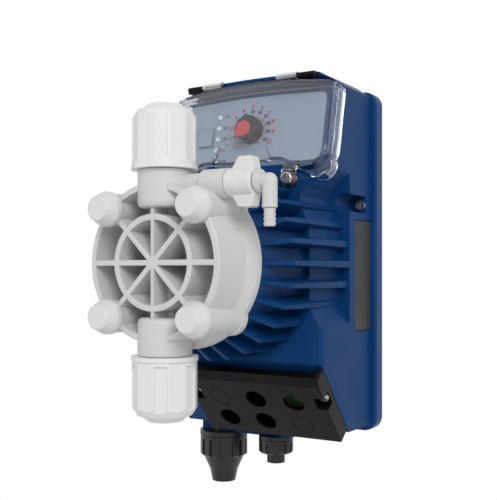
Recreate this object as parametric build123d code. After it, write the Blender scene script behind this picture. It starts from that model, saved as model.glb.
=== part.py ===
"""Wall-mounted solenoid diaphragm metering pump, as an assembly of separate pieces.

Frame: millimetres, +Z up, the pump faces -Y, and the origin is where the pump axis meets the wall
face. A "depth" is a distance from the wall, so depth d lies at Y = -d. Heights are measured from the
pump axis.
"""
from build123d import *
import math
import os

# ---------------------------------------------------------------- driving dimensions: case
plate_margin = 4.0
plate_top = 118.0
plate_bottom = 113.0
plate_thick = 10.0
plate_corner = 9.5
case_half_width = 58.75
case_top = 113.7
case_bottom = 108.0
plateau_depth = 84.0
plateau_top = 50.5
centre_plateau_top = 62.0
centre_plateau_half = 31.0
case_wall = 3.5
cavity_side_wall = 11.35
back_bay_bottom = 60.0
low_bay_depth = 33.0
low_bay_top = 58.0
mid_bay_side_wall = 15.25
mid_bay_bottom = 55.0
mid_bay_top = 46.0
panel_bay_side_wall = 12.75
panel_bay_setback = 12.2
panel_bay_top = 17.0
case_edge_round = 3.0
roof_slope_width = 10.25
roof_side_height = 120.8
roof_mid_height = 122.0
scoop_depth = 44.0
scoop_draft = 2.0
scoop_top = 60.6
scoop_bottom = -41.5
scoop_round = 5.0
notch_radius = 6.6
notch_inset = 3.55
notch_z = 39.9
notch_floor_depth = 18.0
case_screw_head_r = 3.3
case_screw_shank_r = 1.9
low_screw_inset = 5.75
low_screw_z = -85.0
wall_hole_inset = 14.75
wall_hole_z = 104.5
wall_hole_r = 2.75
wall_hole_deep = 7.5
gasket_thick = 1.2
gasket_width = 1.8
gasket_gap = 1.0
label_depth_from = 10.6
label_depth_to = 35.4
label_bottom = -43.3
label_top = 29.0
label_thick = 0.8
label_recess = 1.0

# ---------------------------------------------------------------- driving dimensions: barrel, fins
barrel_radius = 47.5
barrel_front = 140.0
barrel_back = 64.0
barrel_bore = 37.0
barrel_edge = 4.0
fin_count = 28
fin_corner_setback = 22.0
fin_front_setback = 4.0
fin_front_thick = 2.4
fin_back_thick = 4.4

# ---------------------------------------------------------------- driving dimensions: solenoid
yoke_radius = 36.6
yoke_wall = 4.0
yoke_back = 66.0
yoke_front_gap = 1.0
coil_radius = 31.0
guide_radius = 13.6
guide_wall = 0.9
armature_radius = 12.64
armature_back = 76.0
armature_setback = 15.0
stroke = 1.25
rod_radius = 4.0
rod_gap = 0.3
spring_radius = 8.6
spring_wire_r = 0.9
spring_turns = 4.5
backplate_thick = 14.0
backplate_gap = 0.3
disc_radius = 19.0
disc_thick = 5.0
diaphragm_radius = 36.0
diaphragm_thick = 3.0
diaphragm_web = 1.2
clamp_inner_radius = 29.0

# ---------------------------------------------------------------- driving dimensions: pump head
head_flange_thick = 4.5
head_flange_radius = 50.0
head_bend_reach = 11.0
head_bend_radius = 46.3
head_length = 34.0
head_rim_radius = 44.5
rim_wall = 3.6
ring_radius = 27.0
ring_wall = 3.4
pocket_floor_thick = 12.0
spoke_flat = 3.1
spoke_upright = 2.0
spoke_diagonal = 3.0
pocket_round = 3.4
pocket_tip_round = 0.8
chamber_radius = 25.0
chamber_deep = 3.4
bolt_spacing = 30.4
bolt_radius = 3.0
bolt_gap = 0.25
bolt_boss_radius = 9.4
bolt_head_radius = 5.0
bolt_head_thick = 4.5
bolt_grip = 22.0
cap_base_radius = 10.0
cap_face_radius = 6.6
cap_reach = 11.0
cap_wall = 2.0
valve_axis_reach = 22.4
valve_body_radius = 15.3
valve_body_inner = 30.5
valve_body_outer = 51.6
neck_radius = 13.0
channel_radius = 4.5
port_radius = 2.2

# ---------------------------------------------------------------- driving dimensions: valves, nuts
cartridge_radius = 8.8
cartridge_foot = 37.0
ball_radius = 4.5
ball_lift = 1.5
ball_gap = 0.3
seat_hole_radius = 3.0
cage_radius = 5.2
nut_radius = 18.4
nut_flat = 17.9
nut_lip_radius = 18.8
nut_lip = 2.6
nut_shoulder = 80.4
nut_top = 88.4
nut_flute_count = 6
nut_flute_width = 7.0
nut_flute_deep = 1.5
nut_end_wall = 15.3
hose_hole_radius = 6.15
nut_thread_gap = 0.3
nipple_radius = 4.0
nipple_flange = 9.0
clamp_ring_height = 5.0

# ---------------------------------------------------------------- driving dimensions: bleed valve
bleed_height = 42.4
bleed_stub_radius = 6.5
bleed_sleeve_radius = 8.0
bleed_sleeve_from = 28.0
bleed_sleeve_to = 43.5
bleed_bore = 4.2
bleed_gap = 0.35
knob_hub_radius = 7.6
knob_hub_to = 60.0
wing_reach = 13.4
wing_thick = 7.0
elbow_x = 68.05
elbow_radius = 4.05
elbow_collar_radius = 6.2
elbow_foot = 28.2
barb_end = 18.6
barb_radius = 3.3
barb_root_radius = 2.8
barb_count = 4
bleed_channel_radius = 1.5

# ---------------------------------------------------------------- driving dimensions: panel, cover
panel_tilt = 12.5
dial_setback = 17.8
dial_z = 87.0
island_side_inset = 5.25
carrier_back = 17.2
island_bottom = -24.4
island_top = 25.4
island_corner = 8.0
island_wall = 3.0
panel_inset = 1.6
panel_thick = 1.2
dial_x = 0.0
knob_radius = 8.5
knob_length = 8.8
pointer_thick = 1.2
shaft_radius = 3.0
shaft_gap = 0.3
led_from_key = 9.6
led_top = 12.2
led_pitch = 7.8
led_count = 5
led_radius = 1.7
key_inset = 17.2
key_y = -2.0
key_width = 11.8
key_height = 12.8
key_travel = 0.8
key_gap = 0.35
board_gap = 12.0
board_post_inset = 11.5
board_inset = 6.5
board_height = 40.0
board_post_y = 15.0
board_thick = 1.6

cover_overhang = 2.25
cover_top = 30.0
cover_bottom = -31.5
cover_side_drop = 2.8
cover_centre_bottom = -26.4
cover_centre_half = 29.0
cover_slope_inset = 19.0
cover_low_cut_inset = 17.5
cover_low_corner = 17.0
cover_high_corner = 4.0
cover_wall = 2.0
cover_seat = -6.5
cover_step = 1.8
cover_step_inset = 1.4
cover_rim = 7.7
cover_crown = 7.0
tongue_top = -12.0
tongue_half_width = 14.5
tongue_spread = 12.0
tongue_foot_level = 8.2
lobe_radius = 8.7
lobe_inset = 9.2
lobe_y = -25.3
lobe_rim = 1.5
cover_screw_x = 38.0
cover_screw_z = 52.3
lug_radius = 5.6
lug_standoff = 2.6
lug_thick = 2.0
lug_hole_radius = 2.8
lug_arm_half = 4.8
lug_arm_level = 10.2
screw_boss_radius = 4.8
cover_screw_head_r = 4.1
cover_screw_head = 3.6
cover_screw_shank_r = 2.0
cover_ring_wire_r = 1.1
hinge_out = 12.1
hinge_standoff = 4.0
knuckle_radius = 2.6
pin_radius = 1.5
pin_gap = 0.06
knuckle_from = 20.8
knuckle_to = 36.0
hinge_block_to = 48.0
hinge_block_radius = 2.2
hinge_block_top = 1.6
hinge_side_gap = 0.4

# ---------------------------------------------------------------- driving dimensions: wiring chamber
wiring_top_standoff = 2.9
wiring_brow_standoff = 6.0
wiring_brow_z = -68.7
wiring_cover_top = -64.3
wiring_top_z = -75.0
wiring_angle = 50.5
wiring_left_inset = 18.25
wiring_seat = 11.0
wiring_length = 48.7
wiring_wall = 2.2
wiring_side_gap = 0.3
knockout_shift = 0.925
chamber_left_wall = 4.5
chamber_right_wall = 4.75
chamber_middle = 25.0
chamber_height = 36.0
terminal_inset = 9.75
terminal_length = 36.0
terminal_pitch = 5.0
knockout_pitch = 27.6
knockout_rows = (15.2, 35.4)
knockout_radius = 7.3
open_knockouts = ((0, 0), (1, 0), (-1, 1), (0, 1))
wiring_screw_row = 14.3
wiring_notch_width = 7.8
wiring_notch_height = 9.8
wiring_notch_deep = 7.0
wiring_screw_inset = 3.6
wiring_screw_head_r = 2.9
liner_thick = 0.8

# ---------------------------------------------------------------- driving dimensions: glands
boss_to_x = 13.0
boss_depth = 40.5
boss_back_depth = 12.0
boss_bottom = 117.5
gland_inset = 13.25
gland_depth = 33.0
gland_nut_radius = 16.8
gland_flute_count = 14
gland_end_radius = 8.3
gland_shoulder_reach = 17.1
gland_reach = 36.5
cable_hole_radius = 4.5
socket_x = -2.3
socket_depth = 33.0
socket_radius = 11.9
socket_stub_radius = 6.2
socket_cap_reach = 12.1
socket_reach = 18.8

seat_gap = 0.3

# ---------------------------------------------------------------- sizes that follow from the others
case_middle_z = (plate_top - plate_bottom) / 2
plate_width = 2 * (case_half_width + plate_margin)
cavity_half_width = case_half_width - cavity_side_wall
roof_half_width = case_half_width - roof_slope_width
notch_x = case_half_width - notch_inset
low_screw_x = case_half_width - low_screw_inset
wall_hole_x = case_half_width - wall_hole_inset
fin_radius = case_half_width
backplate_back = barrel_front - backplate_thick
yoke_front = backplate_back - yoke_front_gap
armature_front = yoke_front - armature_setback
head_back = barrel_front
head_flange_front = head_back + head_flange_thick
head_front = head_back + head_length
pocket_floor = head_back + pocket_floor_thick
bolt_seat = head_front + 0.5
bolt_end_depth = barrel_front - bolt_grip
cap_front = head_front + cap_reach
valve_depth = head_back + valve_axis_reach
neck_end = nut_top - nut_end_wall
dial_depth = plateau_depth - dial_setback
island_half_width = case_half_width - island_side_inset
key_x = key_inset - island_half_width
led_x = key_x + led_from_key
board_post_x = island_half_width - board_post_inset
lug_depth = plateau_depth + lug_standoff
cover_half_width = case_half_width + cover_overhang
cover_slope_half = cover_half_width - cover_slope_inset
cover_low_cut_half = cover_half_width - cover_low_cut_inset
lobe_x = cover_half_width - lobe_inset
cover_front = cover_rim + cover_crown
cover_arch = (cover_half_width**2 + cover_side_drop**2) / (2 * cover_side_drop)
wiring_top_depth = plateau_depth + wiring_top_standoff
wiring_left = wiring_left_inset - case_half_width
knockout_x = (wiring_left + case_half_width) / 2 - knockout_shift
chamber_from = wiring_left + chamber_left_wall
chamber_to = case_half_width - chamber_right_wall
terminal_x = case_half_width - terminal_inset - terminal_length / 2
gland_x = gland_inset - case_half_width


# ---------------------------------------------------------------- helpers
def front_plane(depth):
    """Upright plane at this depth: its x is X, its y is Z, and it faces the front."""
    return Plane.XZ.offset(depth)


def box(x_from, x_to, depth_from, depth_to, z_from, z_to):
    """Block between two values of X, two depths and two heights."""
    size = (x_to - x_from, depth_to - depth_from, z_to - z_from)
    middle = ((x_from + x_to) / 2, -(depth_from + depth_to) / 2, (z_from + z_to) / 2)
    return Pos(*middle) * Box(*size)


def rod(radius, depth_from, depth_to, x=0.0, z=0.0):
    """Round bar along the depth."""
    return extrude(front_plane(depth_from) * Pos(x, z) * Circle(radius), depth_to - depth_from)


def post(radius, z_from, z_to, x=0.0, depth=0.0):
    """Round bar along Z."""
    return extrude(Plane.XY.offset(z_from) * Pos(x, -depth) * Circle(radius), z_to - z_from)


def crossbar(radius, x_from, x_to, depth, z):
    """Round bar along X."""
    return extrude(Plane.YZ.offset(x_from) * Pos(-depth, z) * Circle(radius), x_to - x_from)


def turned(points):
    """Body turned about the pump axis from (radius, depth) points."""
    outline = make_face(Polyline(*[(radius, -depth) for radius, depth in points], close=True))
    return revolve(outline, Axis.Y)


def turned_upright(points, x=0.0, depth=0.0):
    """Body turned about an upright axis from (radius, z) points."""
    outline = Plane.XZ * make_face(Polyline(*points, close=True))
    return Pos(x, -depth, 0) * revolve(outline, Axis.Z)


def turned_crossways(points, depth, z):
    """Body turned about an axis along X from (x, radius) points."""
    outline = make_face(Polyline(*points, close=True))
    return Pos(0, -depth, z) * revolve(outline, Axis.X)


def side_block(points, x_from, x_to):
    """Side outline of (depth, z) points, extruded along X."""
    outline = make_face(Polyline(*[(-depth, z) for depth, z in points], close=True))
    return extrude(Plane.YZ.offset(x_from) * outline, x_to - x_from)


def mirrored(shape):
    """The shape and its mirror image across the pump's middle plane."""
    return [shape, mirror(shape, Plane.YZ)]


def at_four_bolts(shape):
    """Copies of a shape made at the origin, one on each head bolt."""
    return [
        Pos(x * bolt_spacing, 0, z * bolt_spacing) * shape for x in (1, -1) for z in (1, -1)
    ]


def ring_profile(inner, outer, low, high):
    """Rectangular section of a ring."""
    return [(inner, low), (outer, low), (outer, high), (inner, high)]


# Plane of the control panel: x is X, y runs up the panel, and its normal leans up.
panel_plane = Plane(
    origin=(dial_x, -dial_depth, dial_z),
    x_dir=(1, 0, 0),
    z_dir=(0, -math.cos(math.radians(panel_tilt)), math.sin(math.radians(panel_tilt))),
)
# Plane of the wiring cover's face: x is X, y runs up the slope, and its normal leans down.
wiring_plane = Plane(
    origin=(0, -wiring_top_depth, wiring_top_z),
    x_dir=(1, 0, 0),
    z_dir=(0, -math.sin(math.radians(wiring_angle)), -math.cos(math.radians(wiring_angle))),
)


def panel_point(up, out):
    """(depth, z) of a point up the panel and out from it."""
    spot = panel_plane.from_local_coords((0, up, out))
    return (-spot.Y, spot.Z)


def panel_depth(z, out):
    """Depth, at this height, of a plane parallel to the panel."""
    lean = math.radians(panel_tilt)
    return dial_depth + (dial_z - z) * math.tan(lean) + out / math.cos(lean)


# The hinge's centre stands over the cover's top edge, and the visor ends behind it.
hinge_depth, hinge_z = panel_point(cover_top, hinge_out)
roof_depth = hinge_depth - hinge_standoff


def wiring_point(down, out):
    """(depth, z) of a point down the wiring face and out from it."""
    spot = wiring_plane.from_local_coords((0, -down, out))
    return (-spot.Y, spot.Z)


def wiring_down_at_depth(depth, out):
    """How far down the wiring slope a parallel plane reaches this depth."""
    start = wiring_point(0, out)
    finish = wiring_point(1, out)
    return (depth - start[0]) / (finish[0] - start[0])


def wiring_down_at_height(z, out):
    """How far down the wiring slope a parallel plane reaches this height."""
    start = wiring_point(0, out)
    finish = wiring_point(1, out)
    return (z - start[1]) / (finish[1] - start[1])


# ---------------------------------------------------------------- case
def case_profile(out):
    """Side outline of the case, its sloping bottom at this level of the wiring plane."""
    slope_top = wiring_point(wiring_down_at_depth(plateau_depth, out), out)
    slope_foot = wiring_point(wiring_down_at_height(-case_bottom, out), out)
    seat = cover_seat - seat_gap
    return [
        (plate_thick, -case_bottom),
        slope_foot,
        slope_top,
        (plateau_depth, plateau_top),
        (panel_depth(plateau_top, seat), plateau_top),
        (panel_depth(case_top, seat), case_top),
        (plate_thick, case_top),
    ]


def roof():
    """Arched roof with chamfered shoulders, its front part a visor over the cover."""
    arch = ThreePointArc(
        (-roof_half_width, roof_side_height), (0, roof_mid_height), (roof_half_width, roof_side_height)
    )
    sides = Polyline(
        (roof_half_width, roof_side_height),
        (case_half_width, case_top),
        (case_half_width, case_top - 5),
        (-case_half_width, case_top - 5),
        (-case_half_width, case_top),
        (-roof_half_width, roof_side_height),
    )
    outline = make_face([arch, sides])
    back_depth = panel_depth(case_top, cover_seat - seat_gap)
    back = extrude(front_plane(plate_thick) * outline, back_depth - plate_thick)
    visor_arch = Pos(0, visor_underside() - cover_arch) * Circle(cover_arch)
    visor = extrude(front_plane(back_depth) * (outline - visor_arch), roof_depth - back_depth)
    return back, visor


def visor_underside():
    """Height of the visor's underside above the middle of the cover's top edge."""
    lean = math.radians(panel_tilt)
    rim_z = dial_z + cover_top * math.cos(lean) + (cover_rim + cover_crown) * math.sin(lean)
    return rim_z + 2 * seat_gap


def side_scoop():
    """Recess in one side of the case that the fins run into, with drafted walls."""
    edge = case_half_width
    outline = make_face(
        Polyline(
            (edge + 16, scoop_bottom),
            (edge + 0.3, scoop_bottom),
            (edge - 5.75, -32.0),
            (edge - 8.25, -26.0),
            (edge - 8.25, 18.0),
            (edge - 10.75, 28.0),
            (edge - 15.15, 37.0),
            (edge - 15.15, 41.5),
            (edge - 11.95, 47.0),
            (edge + 0.3, scoop_top),
            (edge + 16, scoop_top),
            close=True,
        )
    )
    bends = [corner for corner in outline.vertices() if corner.X < edge]
    outline = fillet(bends, scoop_round)
    reach = plateau_depth + 1 - scoop_depth
    return extrude(front_plane(plateau_depth + 1) * outline, -reach, taper=scoop_draft)


def fins():
    """Radial cooling fins: drafted plates whose outer edge slopes in to the barrel's front."""
    fin_front = barrel_front - fin_front_setback
    fin_corner = barrel_front - fin_corner_setback
    edge = [
        (barrel_radius - 3, -scoop_depth),
        (fin_radius, -scoop_depth),
        (fin_radius, -fin_corner),
        (barrel_radius - 0.5, -fin_front),
        (barrel_radius - 3, -fin_front),
    ]
    plate = extrude(make_face(Polyline(*edge, close=True)), fin_back_thick, both=True)
    draft = side_block(
        [
            (scoop_depth, -fin_back_thick / 2),
            (fin_front, -fin_front_thick / 2),
            (fin_front, fin_front_thick / 2),
            (scoop_depth, fin_back_thick / 2),
        ],
        0,
        fin_radius + 1,
    )
    fin = plate & draft
    return [Rot(0, turn * 360 / fin_count, 0) * fin for turn in range(fin_count)]


def barrel():
    """Solenoid barrel, standing forward of the case."""
    return turned(
        [
            (barrel_bore, barrel_back),
            (barrel_radius, barrel_back),
            (barrel_radius, barrel_front - barrel_edge),
            (barrel_radius - barrel_edge, barrel_front),
            (barrel_bore, barrel_front),
        ]
    )


def island_outline(inset):
    """Rounded outline of the raised panel carrier, this far inside its edge."""
    width = 2 * (island_half_width - inset)
    height = island_top - island_bottom - 2 * inset
    middle = (island_top + island_bottom) / 2
    outline = Pos(0, middle) * RectangleRounded(width, height, island_corner - inset)
    return outline & (Pos(0, island_top - inset - cover_arch) * Circle(cover_arch))


def housing_shell():
    """Moulded front housing with the barrel, fins, panel carrier, roof and gland boss."""
    shell = side_block(case_profile(-2.5), -case_half_width, case_half_width)
    front_corners = [
        edge
        for edge in shell.edges().filter_by(Axis.Z)
        if abs(edge.center().Y + plateau_depth) < 0.01
    ]
    shell = fillet(front_corners, case_edge_round)
    shell += box(
        -centre_plateau_half, centre_plateau_half, 60, plateau_depth, plateau_top - 4, centre_plateau_top
    )
    for piece in roof():
        shell += piece
    for boss in mirrored(rod(screw_boss_radius, 60, plateau_depth, cover_screw_x, cover_screw_z)):
        shell += boss
    for scoop in mirrored(side_scoop()):
        shell -= scoop
    for notch in mirrored(rod(notch_radius, notch_floor_depth, plateau_depth, notch_x, notch_z)):
        shell -= notch

    # hollow inside: a back chamber, a deeper middle one and the bay behind the panel
    inside = cavity_half_width
    back_bay_depth = scoop_depth - case_wall
    case_inner_top = case_top - case_wall - 2
    shell -= box(-inside, inside, plate_thick - 1, back_bay_depth, -back_bay_bottom, case_inner_top)
    shell -= box(-inside, inside, plate_thick - 1, low_bay_depth, -case_bottom + case_wall, -low_bay_top)
    inside = case_half_width - mid_bay_side_wall
    front = plateau_depth - case_wall
    shell -= box(-inside, inside, back_bay_depth - 1, front, -mid_bay_bottom, mid_bay_top)
    inside = case_half_width - panel_bay_side_wall
    front = dial_depth - panel_bay_setback
    shell -= box(-inside, inside, back_bay_depth - 1, front, mid_bay_top - 2, dial_z + panel_bay_top)

    # seat of the wiring cover and the chamber behind it
    cut_top = wiring_point(wiring_down_at_depth(plateau_depth + 8, -wiring_seat), -wiring_seat)
    cut_foot = wiring_point(wiring_down_at_height(-boss_bottom, -wiring_seat), -wiring_seat)
    far_corner = (plateau_depth + 8, -boss_bottom)
    shell -= side_block([cut_top, cut_foot, far_corner], wiring_left, case_half_width + 1)
    shell -= extrude(wiring_plane.offset(-wiring_seat + 1) * chamber_outline(0), -12)
    screw_row = wiring_plane.offset(-wiring_seat + 1)
    for x in wiring_screw_places():
        hole = Pos(x, -wiring_screw_row) * Circle(case_screw_shank_r)
        shell -= extrude(screw_row * hole, -13)

    # panel carrier, raised inside the clear cover
    carrier = extrude(panel_plane.offset(-16) * island_outline(0), 16)
    back = dial_depth - carrier_back
    carrier &= box(-case_half_width, case_half_width, back, plateau_depth + 5, dial_z - 32, dial_z + 33)
    shell += carrier
    shell -= extrude(panel_plane.offset(-30) * island_outline(island_wall), 30 - island_wall)
    for x in (-board_post_x, board_post_x):
        for y in (-board_post_y, board_post_y):
            shell += extrude(panel_plane.offset(-board_gap) * Pos(x, y) * Circle(2.4), board_gap)

    # barrel and fins
    shell += barrel()
    shell -= rod(barrel_bore, barrel_back - 30, barrel_front + 1)
    shell += fins()
    shell -= rod(barrel_bore, barrel_back - 30, barrel_front + 1)

    # holes in the panel carrier
    holes = extrude(panel_plane.offset(-island_wall - 1) * Circle(shaft_radius + 1), island_wall + 2)
    shell -= holes
    for place in led_places():
        shell -= extrude(
            panel_plane.offset(-island_wall - 1) * Pos(*place) * Circle(led_radius + 0.3), island_wall + 2
        )
    key_hole = Pos(key_x, key_y) * Rectangle(key_width - 4, key_height - 4)
    shell -= extrude(panel_plane.offset(-island_wall - 1) * key_hole, island_wall + 2)

    # gland boss under the case, with its two cable ways
    shell += box(
        -case_half_width, boss_to_x, boss_back_depth, boss_depth, -boss_bottom, -case_bottom + case_wall
    )
    shell -= post(8.3, -boss_bottom - 1, -case_bottom + case_wall + 12, gland_x, gland_depth)
    shell -= post(6.3, -boss_bottom - 1, -case_bottom + case_wall + 12, socket_x, socket_depth)

    # screw holes
    for z, x in ((notch_z, notch_x), (low_screw_z, low_screw_x)):
        for hole in mirrored(rod(case_screw_shank_r + 0.3, plate_thick - 1, notch_floor_depth + 2, x, z)):
            shell -= hole
    for hole in at_four_bolts(rod(bolt_radius + 0.3, bolt_end_depth - 2, barrel_front + 1)):
        shell -= hole
    screw_hole = rod(cover_screw_shank_r + 1, plateau_depth - 8, plateau_depth + 9, cover_screw_x, cover_screw_z)
    for hole in mirrored(screw_hole):
        shell -= hole

    # shallow seat of the side rating plate
    shell -= box(
        case_half_width - label_recess,
        case_half_width + 1,
        label_depth_from - 0.6,
        label_depth_to + 0.6,
        label_bottom - 0.6,
        label_top + 0.6,
    )
    return shell


def rear_cover():
    """Flat wall plate with rounded corners, wall screw holes and a groove for the gasket."""
    height = plate_top + plate_bottom
    outline = Pos(0, case_middle_z) * RectangleRounded(plate_width, height, plate_corner)
    plate = extrude(front_plane(0) * outline, plate_thick)
    plate = chamfer(plate.faces().sort_by(Axis.Y)[0].edges(), 1.0)
    for x in (wall_hole_x, -wall_hole_x):
        for z in (case_middle_z + wall_hole_z, case_middle_z - wall_hole_z):
            plate -= rod(wall_hole_r, -1, wall_hole_deep, x, z)
    plate -= extrude(front_plane(plate_thick - gasket_thick) * gasket_outline(), gasket_thick)
    for hole in mirrored(rod(case_screw_shank_r + 0.3, 3, plate_thick + 1, notch_x, notch_z)):
        plate -= hole
    for hole in mirrored(rod(case_screw_shank_r + 0.3, -1, plate_thick + 1, low_screw_x, low_screw_z)):
        plate -= hole
    for hole in mirrored(rod(case_screw_head_r + 0.4, -1, 3.0, low_screw_x, low_screw_z)):
        plate -= hole
    return plate


def gasket_outline():
    """Band that the gasket fills, between the cable hollows and the screws."""
    width = 2 * (cavity_half_width + gasket_gap)
    height = case_top + case_bottom - 6.6
    middle = (case_top - case_bottom) / 2
    inner = RectangleRounded(width, height, 2)
    outer = RectangleRounded(width + 2 * gasket_width, height + 2 * gasket_width, 2 + gasket_width)
    return Pos(0, middle) * (outer - inner)


def case_gasket():
    return extrude(front_plane(plate_thick - gasket_thick) * gasket_outline(), gasket_thick)


def case_screws():
    """Two screws at the bottom of the side notches and two driven from the wall side."""
    upper = rod(case_screw_head_r, notch_floor_depth, notch_floor_depth + 2.4, notch_x, notch_z)
    upper += rod(case_screw_shank_r, 4, notch_floor_depth, notch_x, notch_z)
    slot = front_plane(notch_floor_depth + 1.2) * Pos(notch_x, notch_z)
    upper -= extrude(slot * (Rectangle(4, 0.9) + Rectangle(0.9, 4)), 2)
    lower = rod(case_screw_head_r, 0.6, 3.0, low_screw_x, low_screw_z)
    lower += rod(case_screw_shank_r, 3.0, notch_floor_depth, low_screw_x, low_screw_z)
    slot = front_plane(0.6) * Pos(low_screw_x, low_screw_z)
    lower -= extrude(slot * (Rectangle(4, 0.9) + Rectangle(0.9, 4)), 1.2)
    return mirrored(upper) + mirrored(lower)


def rating_plate():
    """Bare plate in the side recess."""
    inner = case_half_width - label_recess
    return box(inner, inner + label_thick, label_depth_from, label_depth_to, label_bottom, label_top)


# ---------------------------------------------------------------- control panel
def led_places():
    return [(led_x, led_top - turn * led_pitch) for turn in range(led_count)]


def control_panel():
    """Front label plate on the panel carrier, with holes for the shaft, lenses and key."""
    panel = extrude(panel_plane * island_outline(panel_inset), panel_thick)
    panel -= extrude(panel_plane.offset(-1) * Circle(shaft_radius + 1), panel_thick + 2)
    for place in led_places():
        panel -= extrude(panel_plane.offset(-1) * Pos(*place) * Circle(led_radius + 0.3), panel_thick + 2)
    key_hole = Pos(key_x, key_y) * RectangleRounded(key_width, key_height, 1.2)
    return panel - extrude(panel_plane.offset(-1) * key_hole, panel_thick + 2)


def led_lenses():
    lens = extrude(Circle(led_radius), island_wall + panel_thick + 0.5)
    lens = fillet(lens.edges().sort_by(Axis.Z)[-1], 0.45)
    foot = extrude(Circle(led_radius + 0.6), -1.2)
    lens += foot
    return [panel_plane.offset(-island_wall) * Pos(*place) * lens for place in led_places()]


def select_key():
    """Key cap that stands just proud of the panel, on a stem that reaches the board."""
    cap = Pos(key_x, key_y) * RectangleRounded(key_width - 2 * key_gap, key_height - 2 * key_gap, 1)
    key = extrude(panel_plane.offset(key_travel + 0.3) * cap, 1.4)
    stem = Pos(key_x, key_y) * Rectangle(key_width - 5, key_height - 5)
    return key + extrude(panel_plane.offset(-board_gap + 3.6) * stem, board_gap - 3.6 + key_travel + 0.3)


def circuit_board():
    """Board behind the panel with the key switch and a few tall parts."""
    outline = Pos(0, -0.5) * Rectangle(2 * (island_half_width - board_inset), board_height)
    board = extrude(panel_plane.offset(-board_gap - board_thick) * outline, board_thick)
    switch = Pos(key_x, key_y) * Rectangle(7, 7)
    board += extrude(panel_plane.offset(-board_gap) * switch, 3.6 - key_travel - 0.2)
    for place in led_places():
        board += extrude(
            panel_plane.offset(-board_gap) * Pos(*place) * Circle(1.2), board_gap - island_wall - 1.2
        )
    for x in (24, 34):
        board += extrude(panel_plane.offset(-board_gap) * Pos(x, 8) * Circle(3.5), 6)
    return board - extrude(panel_plane.offset(-board_gap - board_thick - 1) * Circle(2), board_thick + 2)


def potentiometer():
    """Square potentiometer body behind the carrier, with its shaft bore."""
    body = extrude(panel_plane.offset(-board_gap) * Rectangle(12, 12), board_gap - island_wall)
    bore = Circle(shaft_radius + 0.05)
    return body - extrude(panel_plane.offset(-board_gap + 2) * bore, board_gap)


def knob_shaft():
    start = -board_gap + 2.3
    length = panel_thick + seat_gap + knob_length - 2 - start
    return extrude(panel_plane.offset(start) * Circle(shaft_radius), length)


def adjust_knob():
    """Round knob with a knurled skirt; its top carries the pointer."""
    base = panel_thick + seat_gap
    knob = extrude(panel_plane.offset(base) * Circle(knob_radius), knob_length)
    knob = chamfer(knob.edges().sort_by(Axis.Y)[0], 0.6)
    for turn in range(18):
        spot = Rot(0, 0, turn * 20) * Pos(knob_radius + 0.35, 0) * Circle(0.9)
        knob -= extrude(panel_plane.offset(base + 1.5) * spot, knob_length)
    socket = Circle(shaft_radius)
    return knob - extrude(panel_plane.offset(base - 0.1) * socket, knob_length - 2 + 0.1)


def knob_pointer():
    """Flat teardrop cap whose tip points to the low end of the scale."""
    disc = Circle(knob_radius - 1.4)
    tip = make_face(
        Polyline((-4.2, 5.7), (-4.2, -5.7), (-knob_radius - 0.1, -0.9), (-knob_radius - 0.1, 0.9), close=True)
    )
    outline = Rot(0, 0, 42) * (disc + tip)
    top = panel_thick + seat_gap + knob_length
    return extrude(panel_plane.offset(top) * outline, pointer_thick)


# ---------------------------------------------------------------- clear cover
def cover_outline(inset):
    """Front outline of the clear cover, this far inside its edge."""
    sides = Polyline(
        (-cover_half_width, cover_top - cover_side_drop),
        (-cover_half_width, cover_bottom),
        (-cover_slope_half, cover_bottom),
        (-cover_centre_half, cover_centre_bottom),
        (cover_centre_half, cover_centre_bottom),
        (cover_slope_half, cover_bottom),
        (cover_half_width, cover_bottom),
        (cover_half_width, cover_top - cover_side_drop),
    )
    arch = ThreePointArc(sides @ 1, (0, cover_top), sides @ 0)
    outline = make_face([sides, arch])
    corners = outline.vertices().sort_by(Axis.X)
    low_corners = [corner for corner in corners if corner.Y < cover_bottom + 0.1]
    outer_low = [corner for corner in low_corners if abs(corner.X) > cover_half_width - 0.1]
    outline = fillet(outer_low, cover_low_corner)
    high_corners = [corner for corner in outline.vertices() if corner.Y > 0 and abs(corner.X) > 30]
    outline = fillet(high_corners, cover_high_corner)
    inner_corners = [corner for corner in outline.vertices() if abs(corner.X) < cover_slope_half + 0.1]
    outline = fillet([corner for corner in inner_corners if corner.Y < 0 and abs(corner.X) > 1], 5)
    if inset == 0:
        return outline
    return offset(outline, -inset)


def tongue_outline(grow):
    """Lower middle of the cover, which stays below the raised window."""
    top = tongue_top + grow
    half = tongue_half_width + grow
    wide = half + tongue_spread
    foot = cover_bottom - 9
    shape = make_face(Polyline((-half, top), (half, top), (wide, foot), (-wide, foot), close=True))
    return fillet(shape.vertices().sort_by(Axis.Y)[-2:], 6)


def tongue_space(grow):
    """Room in front of the tongue, whose face falls back from the window towards its foot."""
    foot = cover_bottom - 9
    fall = (cover_front - tongue_foot_level) / (tongue_top - cover_bottom)
    high = panel_point(tongue_top + 9, cover_front + fall * 9 - grow)
    low = panel_point(foot, tongue_foot_level - fall * 9 - grow)
    ramp = side_block([high, low, panel_point(foot, 40), panel_point(tongue_top + 9, 40)], -50, 50)
    return ramp & extrude(panel_plane * tongue_outline(grow), 40)


def crowned(inset):
    """Space behind the cover's gently curved front, this far behind its outer surface."""
    radius = (cover_half_width**2 + cover_crown**2) / (2 * cover_crown)
    cylinder = Pos(0, 0, cover_front - radius) * Rot(90, 0, 0)
    cylinder *= Cylinder(radius - inset, 4 * cover_half_width)
    return panel_plane * cylinder


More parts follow.
